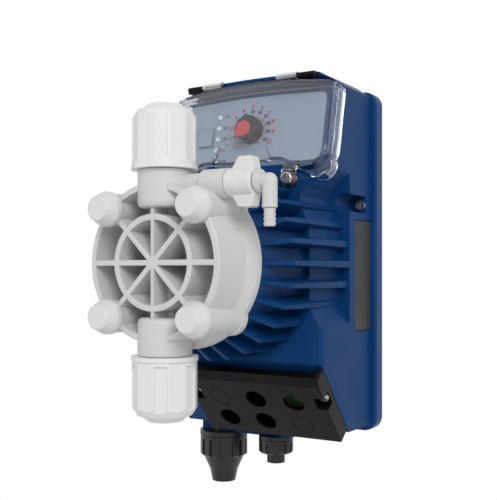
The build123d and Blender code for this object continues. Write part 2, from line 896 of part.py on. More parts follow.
def clear_cover():
    """Hinged transparent cover: a stepped shell with a crowned window, hinge knuckles and lugs."""
    outer = extrude(panel_plane.offset(cover_seat) * cover_outline(0), cover_step - cover_seat)
    inset = cover_step_inset
    outer += extrude(panel_plane.offset(cover_step) * cover_outline(inset), cover_front - cover_step)
    outer = (outer & crowned(0)) - tongue_space(0)
    for x in (-lobe_x, lobe_x):
        disc = Pos(x, lobe_y) * Circle(lobe_radius)
        hollow = Pos(x, lobe_y) * Circle(lobe_radius - lobe_rim)
        outer += extrude(panel_plane.offset(cover_seat) * (disc - hollow), cover_step - cover_seat)
        outer += extrude(panel_plane.offset(cover_step - cover_wall) * disc, cover_wall)
    wall = inset + cover_wall
    inner = extrude(panel_plane.offset(cover_seat - 1) * cover_outline(wall), cover_front - cover_seat)
    inner = (inner & crowned(cover_wall)) - tongue_space(cover_wall)
    shell = outer - inner
    # the lower middle wall stands in front of the panel, and the top wall clears it when swung
    low_strip = Pos(0, cover_bottom) * Rectangle(2 * cover_low_cut_half, 24)
    shell -= extrude(panel_plane.offset(cover_seat - 1) * low_strip, cover_step - cover_seat + 1)
    top_strip = Pos(0, cover_top - 4) * Rectangle(2 * cover_half_width - 8, 20)
    shell -= extrude(panel_plane.offset(cover_seat - 1) * top_strip, cover_step - cover_seat)

    lug = rod(lug_radius, lug_depth, lug_depth + lug_thick, cover_screw_x, cover_screw_z)
    lug += side_block(
        [
            panel_point(cover_bottom + 5, lug_arm_level),
            panel_point(cover_bottom + 0.5, lug_arm_level),
            (lug_depth, cover_screw_z + 5.2),
            (lug_depth, cover_screw_z),
            (lug_depth + lug_thick, cover_screw_z),
            (lug_depth + lug_thick, cover_screw_z + 5.0),
            panel_point(cover_bottom + 5, lug_arm_level + lug_thick),
        ],
        cover_screw_x - lug_arm_half,
        cover_screw_x + lug_arm_half,
    )
    hole = rod(lug_hole_radius, lug_depth - 6, lug_depth + 6, cover_screw_x, cover_screw_z)
    for piece in mirrored(lug):
        shell += piece
    for piece in mirrored(hole):
        shell -= piece

    knuckle = crossbar(
        knuckle_radius, knuckle_from, knuckle_to - hinge_side_gap, hinge_depth, hinge_z
    )
    for piece in mirrored(knuckle):
        shell += piece
    relief = crossbar(
        hinge_block_radius + seat_gap, knuckle_to - hinge_side_gap, hinge_block_to + 1, hinge_depth, hinge_z
    )
    for piece in mirrored(relief):
        shell -= piece
    return shell - crossbar(pin_radius + pin_gap, -50, 50, hinge_depth, hinge_z)


def hinge_blocks():
    """Black ears on the visor's front that hold the hinge pins."""
    radius = hinge_block_radius
    ear = crossbar(radius, knuckle_to, hinge_block_to, hinge_depth, hinge_z)
    ear += box(knuckle_to, hinge_block_to, roof_depth, hinge_depth, hinge_z - radius, hinge_z + radius)
    above = hinge_z + hinge_block_top
    ear -= box(knuckle_to - 1, hinge_block_to + 1, roof_depth - 1, hinge_depth + 4, above, above + 4)
    ear -= crossbar(pin_radius, knuckle_to - 1, hinge_block_to - 2, hinge_depth, hinge_z)
    return mirrored(ear)


def hinge_pins():
    pin = crossbar(pin_radius, knuckle_from + 0.5, hinge_block_to - 2, hinge_depth, hinge_z)
    return mirrored(pin)


def cover_screws():
    """Captive cross-head screws of the cover."""
    head = rod(
        cover_screw_head_r,
        lug_depth + lug_thick,
        lug_depth + lug_thick + cover_screw_head,
        cover_screw_x,
        cover_screw_z,
    )
    front = head.edges().sort_by(Axis.Y)[0]
    head = fillet(front, 1.2)
    head += rod(cover_screw_shank_r, plateau_depth - 4, lug_depth + lug_thick, cover_screw_x, cover_screw_z)
    cross = front_plane(lug_depth + lug_thick + cover_screw_head - 1.6) * Pos(cover_screw_x, cover_screw_z)
    head -= extrude(cross * (Rectangle(5.4, 1.1) + Rectangle(1.1, 5.4)), 3)
    return mirrored(head)


def cover_screw_rings():
    """Sealing rings behind the lugs."""
    middle = lug_depth - cover_ring_wire_r
    torus = Torus(cover_screw_shank_r + cover_ring_wire_r + 0.45, cover_ring_wire_r)
    ring = Pos(cover_screw_x, -middle, cover_screw_z) * Rot(90, 0, 0) * torus
    return mirrored(ring)


# ---------------------------------------------------------------- wiring cover
def wiring_screw_places():
    """X of the left and right screws of the wiring cover."""
    return (wiring_left + wiring_screw_inset, case_half_width - wiring_screw_inset)


def wiring_cover_profile(inset):
    """Side outline of the wiring cover, this far inside its outer faces."""
    seat = -wiring_seat
    seat_top = wiring_point(wiring_down_at_depth(plateau_depth + inset, seat), seat)
    return [
        (plateau_depth + inset, seat_top[1]),
        (plateau_depth + inset, wiring_cover_top - inset),
        (plateau_depth + wiring_brow_standoff - inset, wiring_brow_z - inset * 0.6),
        wiring_point(inset * 0.4, -inset),
        wiring_point(wiring_length - inset, -inset),
        wiring_point(wiring_length - inset, seat),
    ]


def wiring_cover():
    """Black cover over the wiring chamber, with round knockouts and two screw pockets."""
    left = wiring_left + wiring_side_gap
    right = case_half_width - 0.2
    outer = side_block(wiring_cover_profile(0), left, right)
    corners = [edge for edge in outer.edges() if abs(edge.center().X - right) < 0.1]
    brow = sorted(corners, key=lambda edge: edge.center().Z)[-2:]
    outer = chamfer(brow, 1.6)
    cavity = side_block(wiring_cover_profile(wiring_wall), left + wiring_wall, right - wiring_wall)
    shell = outer - cavity
    for column in (-1, 0, 1):
        for row in (0, 1):
            spot = Pos(knockout_x + column * knockout_pitch, -knockout_rows[row])
            if (column, row) in open_knockouts:
                shell -= extrude(wiring_plane.offset(1) * spot * Circle(knockout_radius), -wiring_wall - 2)
            else:
                groove = Circle(knockout_radius) - Circle(knockout_radius - 0.5)
                shell -= extrude(wiring_plane.offset(1) * spot * groove, -1.5)
    for x, outward in zip(wiring_screw_places(), (-1, 1)):
        shell += wiring_screw_pocket(x, outward)
    for x, outward in zip(wiring_screw_places(), (-1, 1)):
        pocket = Pos(x + outward * 2, -wiring_screw_row) * Rectangle(wiring_notch_width + 4, wiring_notch_height)
        shell -= extrude(wiring_plane.offset(1) * pocket, -wiring_notch_deep - 1)
        hole = Pos(x, -wiring_screw_row) * Circle(case_screw_shank_r + 0.2)
        shell -= extrude(wiring_plane.offset(1) * hole, -wiring_seat - 2)
    return shell


def wiring_screw_pocket(x, outward):
    """Solid column inside the cover that one screw pocket is cut into."""
    inner = x - outward * (wiring_notch_width / 2 + 2)
    outer = wiring_left + wiring_side_gap if outward < 0 else case_half_width - 0.2
    middle = (inner + outer) / 2
    column = Pos(middle, -wiring_screw_row) * Rectangle(abs(outer - inner), wiring_notch_height + 3)
    return extrude(wiring_plane.offset(-1) * column, -wiring_seat + 1)


def wiring_cover_screws():
    """Pan-head cross screws at the bottom of the pockets."""
    screws = []
    for x in wiring_screw_places():
        spot = Pos(x, -wiring_screw_row)
        head = extrude(wiring_plane.offset(-wiring_notch_deep) * spot * Circle(wiring_screw_head_r), 2.6)
        head += extrude(wiring_plane.offset(-wiring_notch_deep) * spot * Circle(case_screw_shank_r - 0.1), -13)
        cross = spot * (Rectangle(3.6, 0.8) + Rectangle(0.8, 3.6))
        head -= extrude(wiring_plane.offset(-wiring_notch_deep + 1.4) * cross, 2)
        screws.append(head)
    return screws


def chamber_outline(inset):
    """Outline of the wiring chamber on its slope, this far inside its walls."""
    width = chamber_to - chamber_from - 2 * inset
    return Pos((chamber_from + chamber_to) / 2, -chamber_middle) * Rectangle(width, chamber_height - 2 * inset)


def chamber_liner():
    """Black insulating sheet on the wiring chamber's floor."""
    return extrude(wiring_plane.offset(-wiring_seat - 11) * chamber_outline(1), liner_thick)


def terminal_block():
    """Stepped terminal strip on the chamber's floor."""
    floor = -wiring_seat - 11 + liner_thick
    strip = extrude(wiring_plane.offset(floor) * Pos(terminal_x, -19.5) * Rectangle(terminal_length, 19), 8)
    strip += extrude(wiring_plane.offset(floor) * Pos(terminal_x, -24) * Rectangle(terminal_length, 10), 12.5)
    for turn in range(-3, 4):
        slot = Pos(terminal_x + turn * terminal_pitch, -14) * Rectangle(3.4, 5)
        strip -= extrude(wiring_plane.offset(floor + 5) * slot, 8)
    return strip


# ---------------------------------------------------------------- glands
def cable_gland_body():
    """Gland body with its flange under the boss and a hollow stub inside the nut."""
    return turned_upright(
        [
            (5.2, -boss_bottom + 10),
            (8.2, -boss_bottom + 10),
            (8.2, -boss_bottom),
            (gland_nut_radius + 0.3, -boss_bottom),
            (gland_nut_radius + 0.3, -boss_bottom - 3.4),
            (11.0, -boss_bottom - 3.4),
            (11.0, -boss_bottom - 14),
            (9.2, -boss_bottom - 14),
            (9.2, -boss_bottom - 4),
            (5.2, -boss_bottom - 2),
        ],
        gland_x,
        gland_depth,
    )


def gland_seal():
    """Rubber bush that grips the cable."""
    return turned_upright(
        [
            (cable_hole_radius + 0.4, -boss_bottom - 5),
            (9.0, -boss_bottom - 5),
            (9.0, -boss_bottom - 16),
            (cable_hole_radius + 0.4, -boss_bottom - 20),
        ],
        gland_x,
        gland_depth,
    )


def cable_gland_nut():
    """Fluted clamping nut that tapers to the cable."""
    top = -boss_bottom - 3.7
    shoulder = -boss_bottom - gland_shoulder_reach
    end = -boss_bottom - gland_reach
    nut = turned_upright(
        [
            (11.3, top),
            (gland_nut_radius, top),
            (gland_nut_radius, shoulder),
            (gland_nut_radius - 2.4, shoulder - 1.6),
            (gland_end_radius + 1.6, end + 8),
            (gland_end_radius, end),
            (cable_hole_radius, end),
            (cable_hole_radius, end + 10),
            (7.6, end + 14),
            (11.3, end + 19),
        ],
        gland_x,
        gland_depth,
    )
    for turn in range(gland_flute_count):
        groove = box(gland_nut_radius - 1.4, gland_nut_radius + 2, -1.3, 1.3, shoulder - 4, top - 2.2)
        nut -= Pos(gland_x, -gland_depth, 0) * Rot(0, 0, (turn + 0.5) * 360 / gland_flute_count) * groove
    return nut


def signal_socket():
    """Round signal socket screwed into the boss."""
    return turned_upright(
        [
            (0, -boss_bottom + 8),
            (6.2, -boss_bottom + 8),
            (6.2, -boss_bottom),
            (socket_radius, -boss_bottom),
            (socket_radius, -boss_bottom - 2.6),
            (8.6, -boss_bottom - 2.6),
            (8.6, -boss_bottom - 9),
            (0, -boss_bottom - 9),
        ],
        socket_x,
        socket_depth,
    )


def signal_socket_cap():
    """Fluted blind cap of the signal socket, with a short stub."""
    top = -boss_bottom - 2.9
    shoulder = -boss_bottom - socket_cap_reach
    cap = turned_upright(
        [
            (8.9, top),
            (socket_radius, top),
            (socket_radius, shoulder + 1.2),
            (socket_radius - 1.2, shoulder),
            (socket_stub_radius, shoulder),
            (socket_stub_radius, -boss_bottom - socket_reach),
            (0, -boss_bottom - socket_reach),
            (0, -boss_bottom - 9.4),
            (8.9, -boss_bottom - 9.4),
        ],
        socket_x,
        socket_depth,
    )
    for turn in range(12):
        groove = box(socket_radius - 0.9, socket_radius + 2, -1.1, 1.1, shoulder - 1.4, top - 1.6)
        cap -= Pos(socket_x, -socket_depth, 0) * Rot(0, 0, turn * 30) * groove
    return cap


# ---------------------------------------------------------------- solenoid and diaphragm drive
def solenoid_yoke():
    """Steel can around the coil, with a pole plate at its front."""
    inner = yoke_radius - yoke_wall
    return turned(
        [
            (6.0, yoke_back),
            (yoke_radius, yoke_back),
            (yoke_radius, yoke_front),
            (spring_radius + spring_wire_r + 0.6, yoke_front),
            (spring_radius + spring_wire_r + 0.6, armature_front + stroke + 0.6),
            (inner, armature_front + stroke + 0.6),
            (inner, yoke_back + yoke_wall),
            (6.0, yoke_back + yoke_wall),
        ]
    )


def solenoid_coil():
    back = yoke_back + yoke_wall
    front = armature_front + stroke + 0.6
    return turned(ring_profile(guide_radius, coil_radius, back, front))


def armature_guide():
    """Thin sleeve that the armature slides in."""
    back = yoke_back + yoke_wall
    front = armature_front + stroke + 0.6
    return turned(ring_profile(guide_radius - guide_wall, guide_radius, back, front))


def armature():
    core = turned(ring_profile(0, armature_radius, armature_back, armature_front))
    return chamfer(core.edges(), 0.6)


def push_rod():
    front = backplate_back + backplate_thick - disc_thick - 1.2
    return rod(rod_radius, armature_front, front)


def pressure_disc():
    """Disc that pushes the diaphragm's centre."""
    back = barrel_front - disc_thick - 1.2
    disc = turned(ring_profile(0, disc_radius, back, barrel_front - 1.2))
    return chamfer(disc.edges(), 0.8)


def return_spring():
    """Coil spring between the armature and the backplate."""
    start = armature_front + spring_wire_r + 0.15
    length = backplate_back - start - spring_wire_r - 0.15
    path = Helix(length / spring_turns, length, spring_radius, direction=(0, -1, 0), center=(0, -start, 0))
    section = Plane(origin=path @ 0, z_dir=path % 0) * Circle(spring_wire_r)
    return sweep(section, path=path, is_frenet=True)


def backplate():
    """Plate in the barrel's mouth that guides the rod and backs the diaphragm."""
    pocket = barrel_front - disc_thick - 1.8
    hole = rod_radius + rod_gap
    return turned(
        [
            (hole, backplate_back),
            (barrel_bore - backplate_gap, backplate_back),
            (barrel_bore - backplate_gap, barrel_front),
            (disc_radius + 5, barrel_front),
            (disc_radius + 1.2, pocket),
            (hole, pocket),
        ]
    )


def diaphragm():
    """Moulded diaphragm: a thick clamped rim, a thin web and a stiff centre."""
    front = barrel_front + diaphragm_thick
    return turned(
        [
            (0, barrel_front - 1.2),
            (disc_radius, barrel_front - 1.2),
            (disc_radius + 1.5, barrel_front),
            (diaphragm_radius, barrel_front),
            (diaphragm_radius, front),
            (clamp_inner_radius, front),
            (chamber_radius, barrel_front + diaphragm_web),
            (disc_radius, barrel_front + diaphragm_web),
            (disc_radius - 3, front - 0.4),
            (0, front - 0.4),
        ]
    )


# ---------------------------------------------------------------- pump head
def head_body():
    """Outside of the head: flared wall, chamfered flange and a diaphragm recess at the back."""
    chamber_front = head_back + diaphragm_thick + chamber_deep
    return turned(
        [
            (0, chamber_front),
            (chamber_radius - 6, chamber_front),
            (clamp_inner_radius - 0.5, head_back + diaphragm_thick),
            (diaphragm_radius + 0.3, head_back + diaphragm_thick),
            (diaphragm_radius + 0.3, head_back),
            (head_flange_radius, head_back),
            (head_flange_radius, head_flange_front),
            (head_bend_radius, head_back + head_bend_reach),
            (head_rim_radius, head_front - 0.8),
            (head_rim_radius - 0.8, head_front),
            (0, head_front),
        ]
    )


def head_pockets():
    """Front pockets between the rim, the ring and the spokes."""
    field = Circle(head_rim_radius - rim_wall)
    field -= Circle(ring_radius) - Circle(ring_radius - ring_wall)
    field -= Rectangle(2 * head_rim_radius, spoke_flat)
    field -= Rectangle(spoke_upright, 2 * head_rim_radius)
    for angle in (45, -45):
        field -= Rot(0, 0, angle) * Rectangle(2 * head_rim_radius, spoke_diagonal)
    for x in (1, -1):
        for z in (1, -1):
            field -= Pos(x * bolt_spacing, z * bolt_spacing) * Circle(bolt_boss_radius)
    pockets = Sketch()
    for face in field.faces():
        tips = [corner for corner in face.vertices() if math.hypot(corner.X, corner.Y) < ring_radius / 2]
        bends = [corner for corner in face.vertices() if math.hypot(corner.X, corner.Y) > ring_radius / 2]
        if tips:
            face = fillet(tips, pocket_tip_round).faces()[0]
            bends = [corner for corner in face.vertices() if math.hypot(corner.X, corner.Y) > ring_radius / 2]
        pockets += fillet(bends, pocket_round)
    return extrude(front_plane(pocket_floor) * pockets, head_front - pocket_floor + 1)


def valve_column():
    """Upper valve body with its threaded neck, before boring."""
    return turned_upright(
        [
            (0, valve_body_inner),
            (valve_body_radius - 2.6, valve_body_inner),
            (valve_body_radius - 0.8, valve_body_inner + 0.9),
            (valve_body_radius, valve_body_inner + 2.8),
            (valve_body_radius, valve_body_outer),
            (neck_radius, valve_body_outer),
            (neck_radius, neck_end),
            (0, neck_end),
        ],
        0,
        valve_depth,
    )


def valve_bore():
    """Bore that takes one valve cartridge."""
    return post(cartridge_radius + 0.1, cartridge_foot, neck_end + 1, 0, valve_depth)


def bleed_branch():
    """Branch of the head that carries the bleed valve."""
    return turned_crossways(
        [
            (0, 0),
            (0, bleed_stub_radius),
            (bleed_sleeve_from - 1.5, bleed_stub_radius),
            (bleed_sleeve_from, bleed_sleeve_radius),
            (bleed_sleeve_to, bleed_sleeve_radius),
            (bleed_sleeve_to, 0),
        ],
        valve_depth,
        bleed_height,
    )


def pump_head():
    """Moulded head: ribbed front, four bolt bosses, two valve bodies and the bleed branch."""
    head = head_body() - head_pockets()
    head += at_four_bolts(rod(bolt_boss_radius, head_back, bolt_seat))
    head += at_four_bolts(rod(bolt_boss_radius + 1.2, head_back, head_flange_front))
    head += post(channel_radius, -valve_body_inner - 2, valve_body_inner + 2, 0, valve_depth - 6)
    column = valve_column()
    head += column
    head += mirror(column, Plane.XY)
    head += bleed_branch()

    for bore in (valve_bore(), mirror(valve_bore(), Plane.XY)):
        head -= bore
    head -= post(port_radius, -cartridge_foot - 1, cartridge_foot + 1, 0, valve_depth - 6)
    chamber_front = head_back + diaphragm_thick + chamber_deep
    for z in (12, -12):
        head -= rod(port_radius, chamber_front - 1, valve_depth - 6, 0, z)
    head -= crossbar(bleed_bore, 16, bleed_sleeve_to + 1, valve_depth, bleed_height)
    head -= crossbar(bleed_channel_radius, 0, 20, valve_depth, bleed_height)
    head -= at_four_bolts(rod(bolt_radius + bolt_gap, head_back - 1, head_front + 2))
    # turned mouth of the diaphragm recess, cleared of the bosses
    recess = turned(
        [
            (0, head_back - 1),
            (diaphragm_radius + 0.3, head_back - 1),
            (diaphragm_radius + 0.3, head_back + diaphragm_thick),
            (0, head_back + diaphragm_thick),
        ]
    )
    return head - recess


def head_bolts():
    top = bolt_seat + bolt_head_thick
    bolt = rod(bolt_radius, bolt_end_depth, bolt_seat) + rod(bolt_head_radius, bolt_seat, top)
    socket = front_plane(top - 2.6) * RegularPolygon(2.6, 6)
    return at_four_bolts(bolt - extrude(socket, 4))


def bolt_caps():
    """Conical caps over the bolt heads."""
    cap = turned(
        [
            (bolt_head_radius + 0.3, bolt_seat),
            (cap_base_radius, bolt_seat),
            (cap_base_radius, bolt_seat + 3.4),
            (cap_face_radius + 0.5, cap_front - 0.5),
            (cap_face_radius, cap_front),
            (0, cap_front),
            (0, cap_front - cap_wall),
            (bolt_head_radius + 0.3, cap_front - cap_wall),
        ]
    )
    return at_four_bolts(cap)


# ---------------------------------------------------------------- valves and hose nuts
def upper_cartridge():
    """Valve cartridge: a seat hole, a cage for the ball and an outlet."""
    floor = cartridge_foot + 12
    ceiling = floor + cage_height()
    return turned_upright(
        [
            (seat_hole_radius, cartridge_foot),
            (cartridge_radius, cartridge_foot),
            (cartridge_radius, neck_end),
            (seat_hole_radius, neck_end),
            (seat_hole_radius, ceiling),
            (cage_radius, ceiling),
            (cage_radius, floor),
            (seat_hole_radius, floor),
        ],
        0,
        valve_depth,
    )


def ball_height():
    """Height of the ball's centre above its seat's face."""
    return math.sqrt(ball_radius**2 - seat_hole_radius**2) + ball_gap


def cage_height():
    return ball_height() + ball_radius + ball_lift + ball_gap


def valve_cartridges():
    upper = upper_cartridge()
    shift = -cartridge_foot - neck_end
    return [upper, Pos(0, 0, shift) * upper]


def ball_at(base):
    return Pos(0, -valve_depth, base + 12 + ball_height()) * Sphere(ball_radius)


def discharge_ball():
    return ball_at(cartridge_foot)


def suction_ball():
    return ball_at(-neck_end)


def valve_rings():
    """O-rings between the cartridges' ends and the hose nipples."""
    ring = Pos(0, -valve_depth, neck_end + 0.9) * Torus(6.4, 0.9)
    return [ring, mirror(ring, Plane.XY)]


def discharge_nut():
    """Fluted union nut with a lip, flat lands and a domed end with the hose hole."""
    base = valve_body_outer + seat_gap
    shell = turned_upright(
        [
            (neck_radius + nut_thread_gap, base),
            (nut_lip_radius, base),
            (nut_lip_radius, base + nut_lip),
            (nut_radius, base + nut_lip),
            (nut_radius, nut_shoulder),
            (15.6, nut_shoulder + 4.4),
            (13.2, nut_shoulder + 5.2),
            (10.6, nut_top - 0.6),
            (9.8, nut_top),
            (hose_hole_radius, nut_top),
            (hose_hole_radius, nut_top - 4.6),
            (9.8, nut_top - 9.6),
            (neck_radius + nut_thread_gap, nut_top - 11.6),
        ],
        0,
        valve_depth,
    )
    lands = extrude(
        Plane.XY.offset(base + nut_lip)
        * Pos(0, -valve_depth)
        * RegularPolygon(nut_flat, nut_flute_count, major_radius=False),
        nut_top,
    )
    lip = post(nut_lip_radius, base - 1, base + nut_lip, 0, valve_depth)
    shell &= lands + lip
    for turn in range(nut_flute_count):
        flute = box(
            nut_flat + 0.9 - nut_flute_deep,
            nut_radius + 4,
            -nut_flute_width / 2,
            nut_flute_width / 2,
            base + nut_lip + 2.2,
            nut_shoulder + 2.6,
        )
        shell -= Pos(0, -valve_depth, 0) * Rot(0, 0, turn * 360 / nut_flute_count) * flute
    return shell


def suction_nut():
    return mirror(discharge_nut(), Plane.XY)


def hose_nipples():
    """Nipples that the hoses are pushed onto, inside the nuts."""
    base = neck_end + 1.8
    nipple = turned_upright(
        [
            (2.4, base),
            (nipple_flange, base),
            (nipple_flange, base + 2),
            (nipple_radius + 0.6, base + 2),
            (nipple_radius, base + 7.6),
            (nipple_radius - 0.8, base + 8.6),
            (2.4, base + 8.6),
        ],
        0,
        valve_depth,
    )
    return [nipple, mirror(nipple, Plane.XY)]


def clamp_rings():
    """Tapered rings that the nuts press onto the hoses."""
    base = neck_end + 4.1
    ring = turned_upright(
        [
            (hose_hole_radius, base),
            (8.9, base),
            (8.9, base + 1),
            (hose_hole_radius + 0.6, base + clamp_ring_height),
            (hose_hole_radius, base + clamp_ring_height),
        ],
        0,
        valve_depth,
    )
    return [ring, mirror(ring, Plane.XY)]


# ---------------------------------------------------------------- bleed valve
def bleed_knob():
    """Wing knob with its stem in the branch and a swivel bore for the elbow."""
    start = bleed_sleeve_to + bleed_gap
    knob = turned_crossways(
        [
            (20.0, 0),
            (21.5, bleed_bore - bleed_gap),
            (start, bleed_bore - bleed_gap),
            (start, knob_hub_radius),
            (knob_hub_to - 1, knob_hub_radius),
            (knob_hub_to, knob_hub_radius - 1),
            (knob_hub_to, 0),
        ],
        valve_depth,
        bleed_height,
    )
    wing = make_face(
        Polyline(
            (start + 3.4, 0),
            (start + 3.4, knob_hub_radius),
            (start + 7.2, wing_reach),
            (knob_hub_to - 0.6, wing_reach),
            (knob_hub_to + 0.6, knob_hub_radius - 0.6),
            (knob_hub_to + 0.6, 0),
            close=True,
        )
    )
    wing = fillet(wing.vertices().sort_by(Axis.Y)[-2:], 1.6)
    blade = extrude(Plane.XZ * wing, wing_thick / 2, both=True)
    blade = Pos(0, -valve_depth, bleed_height) * blade
    knob += blade
    knob += Pos(0, -2 * valve_depth, 2 * bleed_height) * Rot(180, 0, 0) * blade
    knob -= crossbar(bleed_channel_radius, 18, knob_hub_to + 2, valve_depth, bleed_height)
    return knob - crossbar(3.3, knob_hub_to - 8, knob_hub_to + 2, valve_depth, bleed_height)


def bleed_elbow():
    """Swivelling elbow that ends in a barbed hose tail."""
    collar_from = knob_hub_to + 0.6 + bleed_gap
    elbow = turned_crossways(
        [
            (knob_hub_to - 7.6, 0),
            (knob_hub_to - 7.6, 3.0),
            (collar_from, 3.0),
            (collar_from, elbow_collar_radius),
            (collar_from + 2.2, elbow_collar_radius),
            (collar_from + 2.8, elbow_radius),
            (elbow_x, elbow_radius),
            (elbow_x, 0),
        ],
        valve_depth,
        bleed_height,
    )
    elbow += Pos(elbow_x, -valve_depth, bleed_height) * Sphere(elbow_radius)
    elbow += post(elbow_radius, elbow_foot, bleed_height, elbow_x, valve_depth)
    pitch = (elbow_foot - barb_end) / barb_count
    tail = [(0, elbow_foot), (barb_root_radius, elbow_foot)]
    for turn in range(barb_count):
        top = elbow_foot - turn * pitch
        tail += [(barb_radius, top - 0.3 * pitch), (barb_root_radius, top - pitch)]
    tail += [(0, barb_end)]
    elbow += turned_upright(tail, elbow_x, valve_depth)
    elbow -= crossbar(bleed_channel_radius, knob_hub_to - 8, elbow_x, valve_depth, bleed_height)
    return elbow - post(bleed_channel_radius, barb_end - 1, bleed_height, elbow_x, valve_depth)


# ---------------------------------------------------------------- assembly
nodes = {
    "rear_cover": rear_cover,
    "case_gasket": case_gasket,
    "housing_shell": housing_shell,
    "case_screws": case_screws,
    "rating_plate": rating_plate,
    "control_panel": control_panel,
    "led_lenses": led_lenses,
    "select_key": select_key,
    "circuit_board": circuit_board,
    "potentiometer": potentiometer,
    "knob_shaft": knob_shaft,
    "adjust_knob": adjust_knob,
    "knob_pointer": knob_pointer,
    "clear_cover": clear_cover,
    "hinge_blocks": hinge_blocks,
    "hinge_pins": hinge_pins,
    "cover_screws": cover_screws,
    "cover_screw_rings": cover_screw_rings,
    "wiring_cover": wiring_cover,
    "wiring_cover_screws": wiring_cover_screws,
    "chamber_liner": chamber_liner,
    "terminal_block": terminal_block,
    "cable_gland_body": cable_gland_body,
    "gland_seal": gland_seal,
    "cable_gland_nut": cable_gland_nut,
    "signal_socket": signal_socket,
    "signal_socket_cap": signal_socket_cap,
    "solenoid_yoke": solenoid_yoke,
    "solenoid_coil": solenoid_coil,
    "armature_guide": armature_guide,
    "armature": armature,
    "push_rod": push_rod,
    "pressure_disc": pressure_disc,
    "return_spring": return_spring,
    "diaphragm_backplate": backplate,
    "diaphragm": diaphragm,
    "pump_head": pump_head,
    "head_bolts": head_bolts,
    "bolt_caps": bolt_caps,
    "valve_cartridges": valve_cartridges,
    "discharge_ball": discharge_ball,
    "suction_ball": suction_ball,
    "valve_rings": valve_rings,
    "discharge_nut": discharge_nut,
    "suction_nut": suction_nut,
    "hose_nipples": hose_nipples,
    "clamp_rings": clamp_rings,
    "bleed_knob": bleed_knob,
    "bleed_elbow": bleed_elbow,
}

os.makedirs("parts", exist_ok=True)
for name, make in nodes.items():
    shape = make()
    if isinstance(shape, list):
        shape = Compound(children=shape)
    export_step(shape, f"parts/{name}.step")
    print(name, round(shape.volume), "mm3")
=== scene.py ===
import bpy
import math
import numpy as np
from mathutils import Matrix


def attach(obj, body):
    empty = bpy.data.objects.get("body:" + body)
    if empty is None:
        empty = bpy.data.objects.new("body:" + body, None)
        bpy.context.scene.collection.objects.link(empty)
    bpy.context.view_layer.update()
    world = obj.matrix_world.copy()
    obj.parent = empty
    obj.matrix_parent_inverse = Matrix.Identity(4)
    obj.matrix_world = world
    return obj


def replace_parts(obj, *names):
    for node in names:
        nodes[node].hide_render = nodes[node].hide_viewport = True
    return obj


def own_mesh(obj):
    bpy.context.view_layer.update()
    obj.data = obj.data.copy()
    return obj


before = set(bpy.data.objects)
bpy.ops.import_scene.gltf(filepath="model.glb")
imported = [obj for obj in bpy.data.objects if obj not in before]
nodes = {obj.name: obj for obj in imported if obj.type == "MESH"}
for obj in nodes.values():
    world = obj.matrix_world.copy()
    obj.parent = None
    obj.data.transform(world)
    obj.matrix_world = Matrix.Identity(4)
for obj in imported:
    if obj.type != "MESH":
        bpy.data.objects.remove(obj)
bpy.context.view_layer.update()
print("frame loaded:", len(nodes), "nodes")

mm = 0.001


def linear(hexColour):
    # sRGB hex to linear: below 0.04045 a straight line, above it a power of 2.4
    parts = [int(hexColour[i:i + 2], 16) / 255 for i in (0, 2, 4)]
    return [c / 12.92 if c <= 0.04045 else ((c + 0.055) / 1.055) ** 2.4 for c in parts] + [1.0]


def node(tree, kind, settings=None, inputs=None):
    # adds one node; an input that is a socket gets linked, and any other value is set
    new = tree.nodes.new(kind)
    for key, value in (settings or {}).items():
        setattr(new, key, value)
    for key, value in (inputs or {}).items():
        if isinstance(value, bpy.types.NodeSocket):
            tree.links.new(value, new.inputs[key])
        else:
            new.inputs[key].default_value = value
    return new


def blankMaterial(name):
    # an empty material with its Object coordinates and its output
    material = bpy.data.materials.new(name)
    material.use_nodes = True
    tree = material.node_tree
    tree.nodes.clear()
    coords = node(tree, "ShaderNodeTexCoord")
    output = node(tree, "ShaderNodeOutputMaterial")
    return material, tree, coords.outputs["Object"], output


# finishes: sizes in millimetres
def mouldedFinish(name, look):
    # injection-moulded plastic: an even colour with faint cloudy flow, spark-eroded grain and softened edges
    material, tree, place, output = blankMaterial(name)
    cloud = node(tree, "ShaderNodeTexNoise", None,
                 {"Vector": place, "Scale": 1000 / look["cloudMm"], "Detail": 3.0, "Roughness": 0.55})
    grain = node(tree, "ShaderNodeTexNoise", None,
                 {"Vector": place, "Scale": 1000 / look["grainMm"], "Detail": 2.0, "Roughness": 0.6})
    tone = node(tree, "ShaderNodeMix", {"data_type": "RGBA"}, {"Factor": cloud.outputs["Fac"]})
    tone.inputs["A"].default_value = linear(look["deep"])
    tone.inputs["B"].default_value = linear(look["pale"])
    sheen = node(tree, "ShaderNodeMapRange", None,
                 {"Value": cloud.outputs["Fac"], "From Min": 0.3, "From Max": 0.7,
                  "To Min": look["rough"] - 0.05, "To Max": look["rough"] + 0.06})
    edge = node(tree, "ShaderNodeBevel", {"samples": 4}, {"Radius": look["edgeMm"] * mm})
    bump = node(tree, "ShaderNodeBump", None,
                {"Strength": look["grainStrength"], "Distance": look["grainDeepMm"] * mm,
                 "Height": grain.outputs["Fac"], "Normal": edge.outputs["Normal"]})
    shader = node(tree, "ShaderNodeBsdfPrincipled", None,
                  {"Base Color": tone.outputs["Result"], "Roughness": sheen.outputs["Result"],
                   "Normal": bump.outputs["Normal"], "IOR": look["ior"],
                   "Specular IOR Level": look.get("specular", 0.5)})
    tree.links.new(shader.outputs["BSDF"], output.inputs["Surface"])
    return material


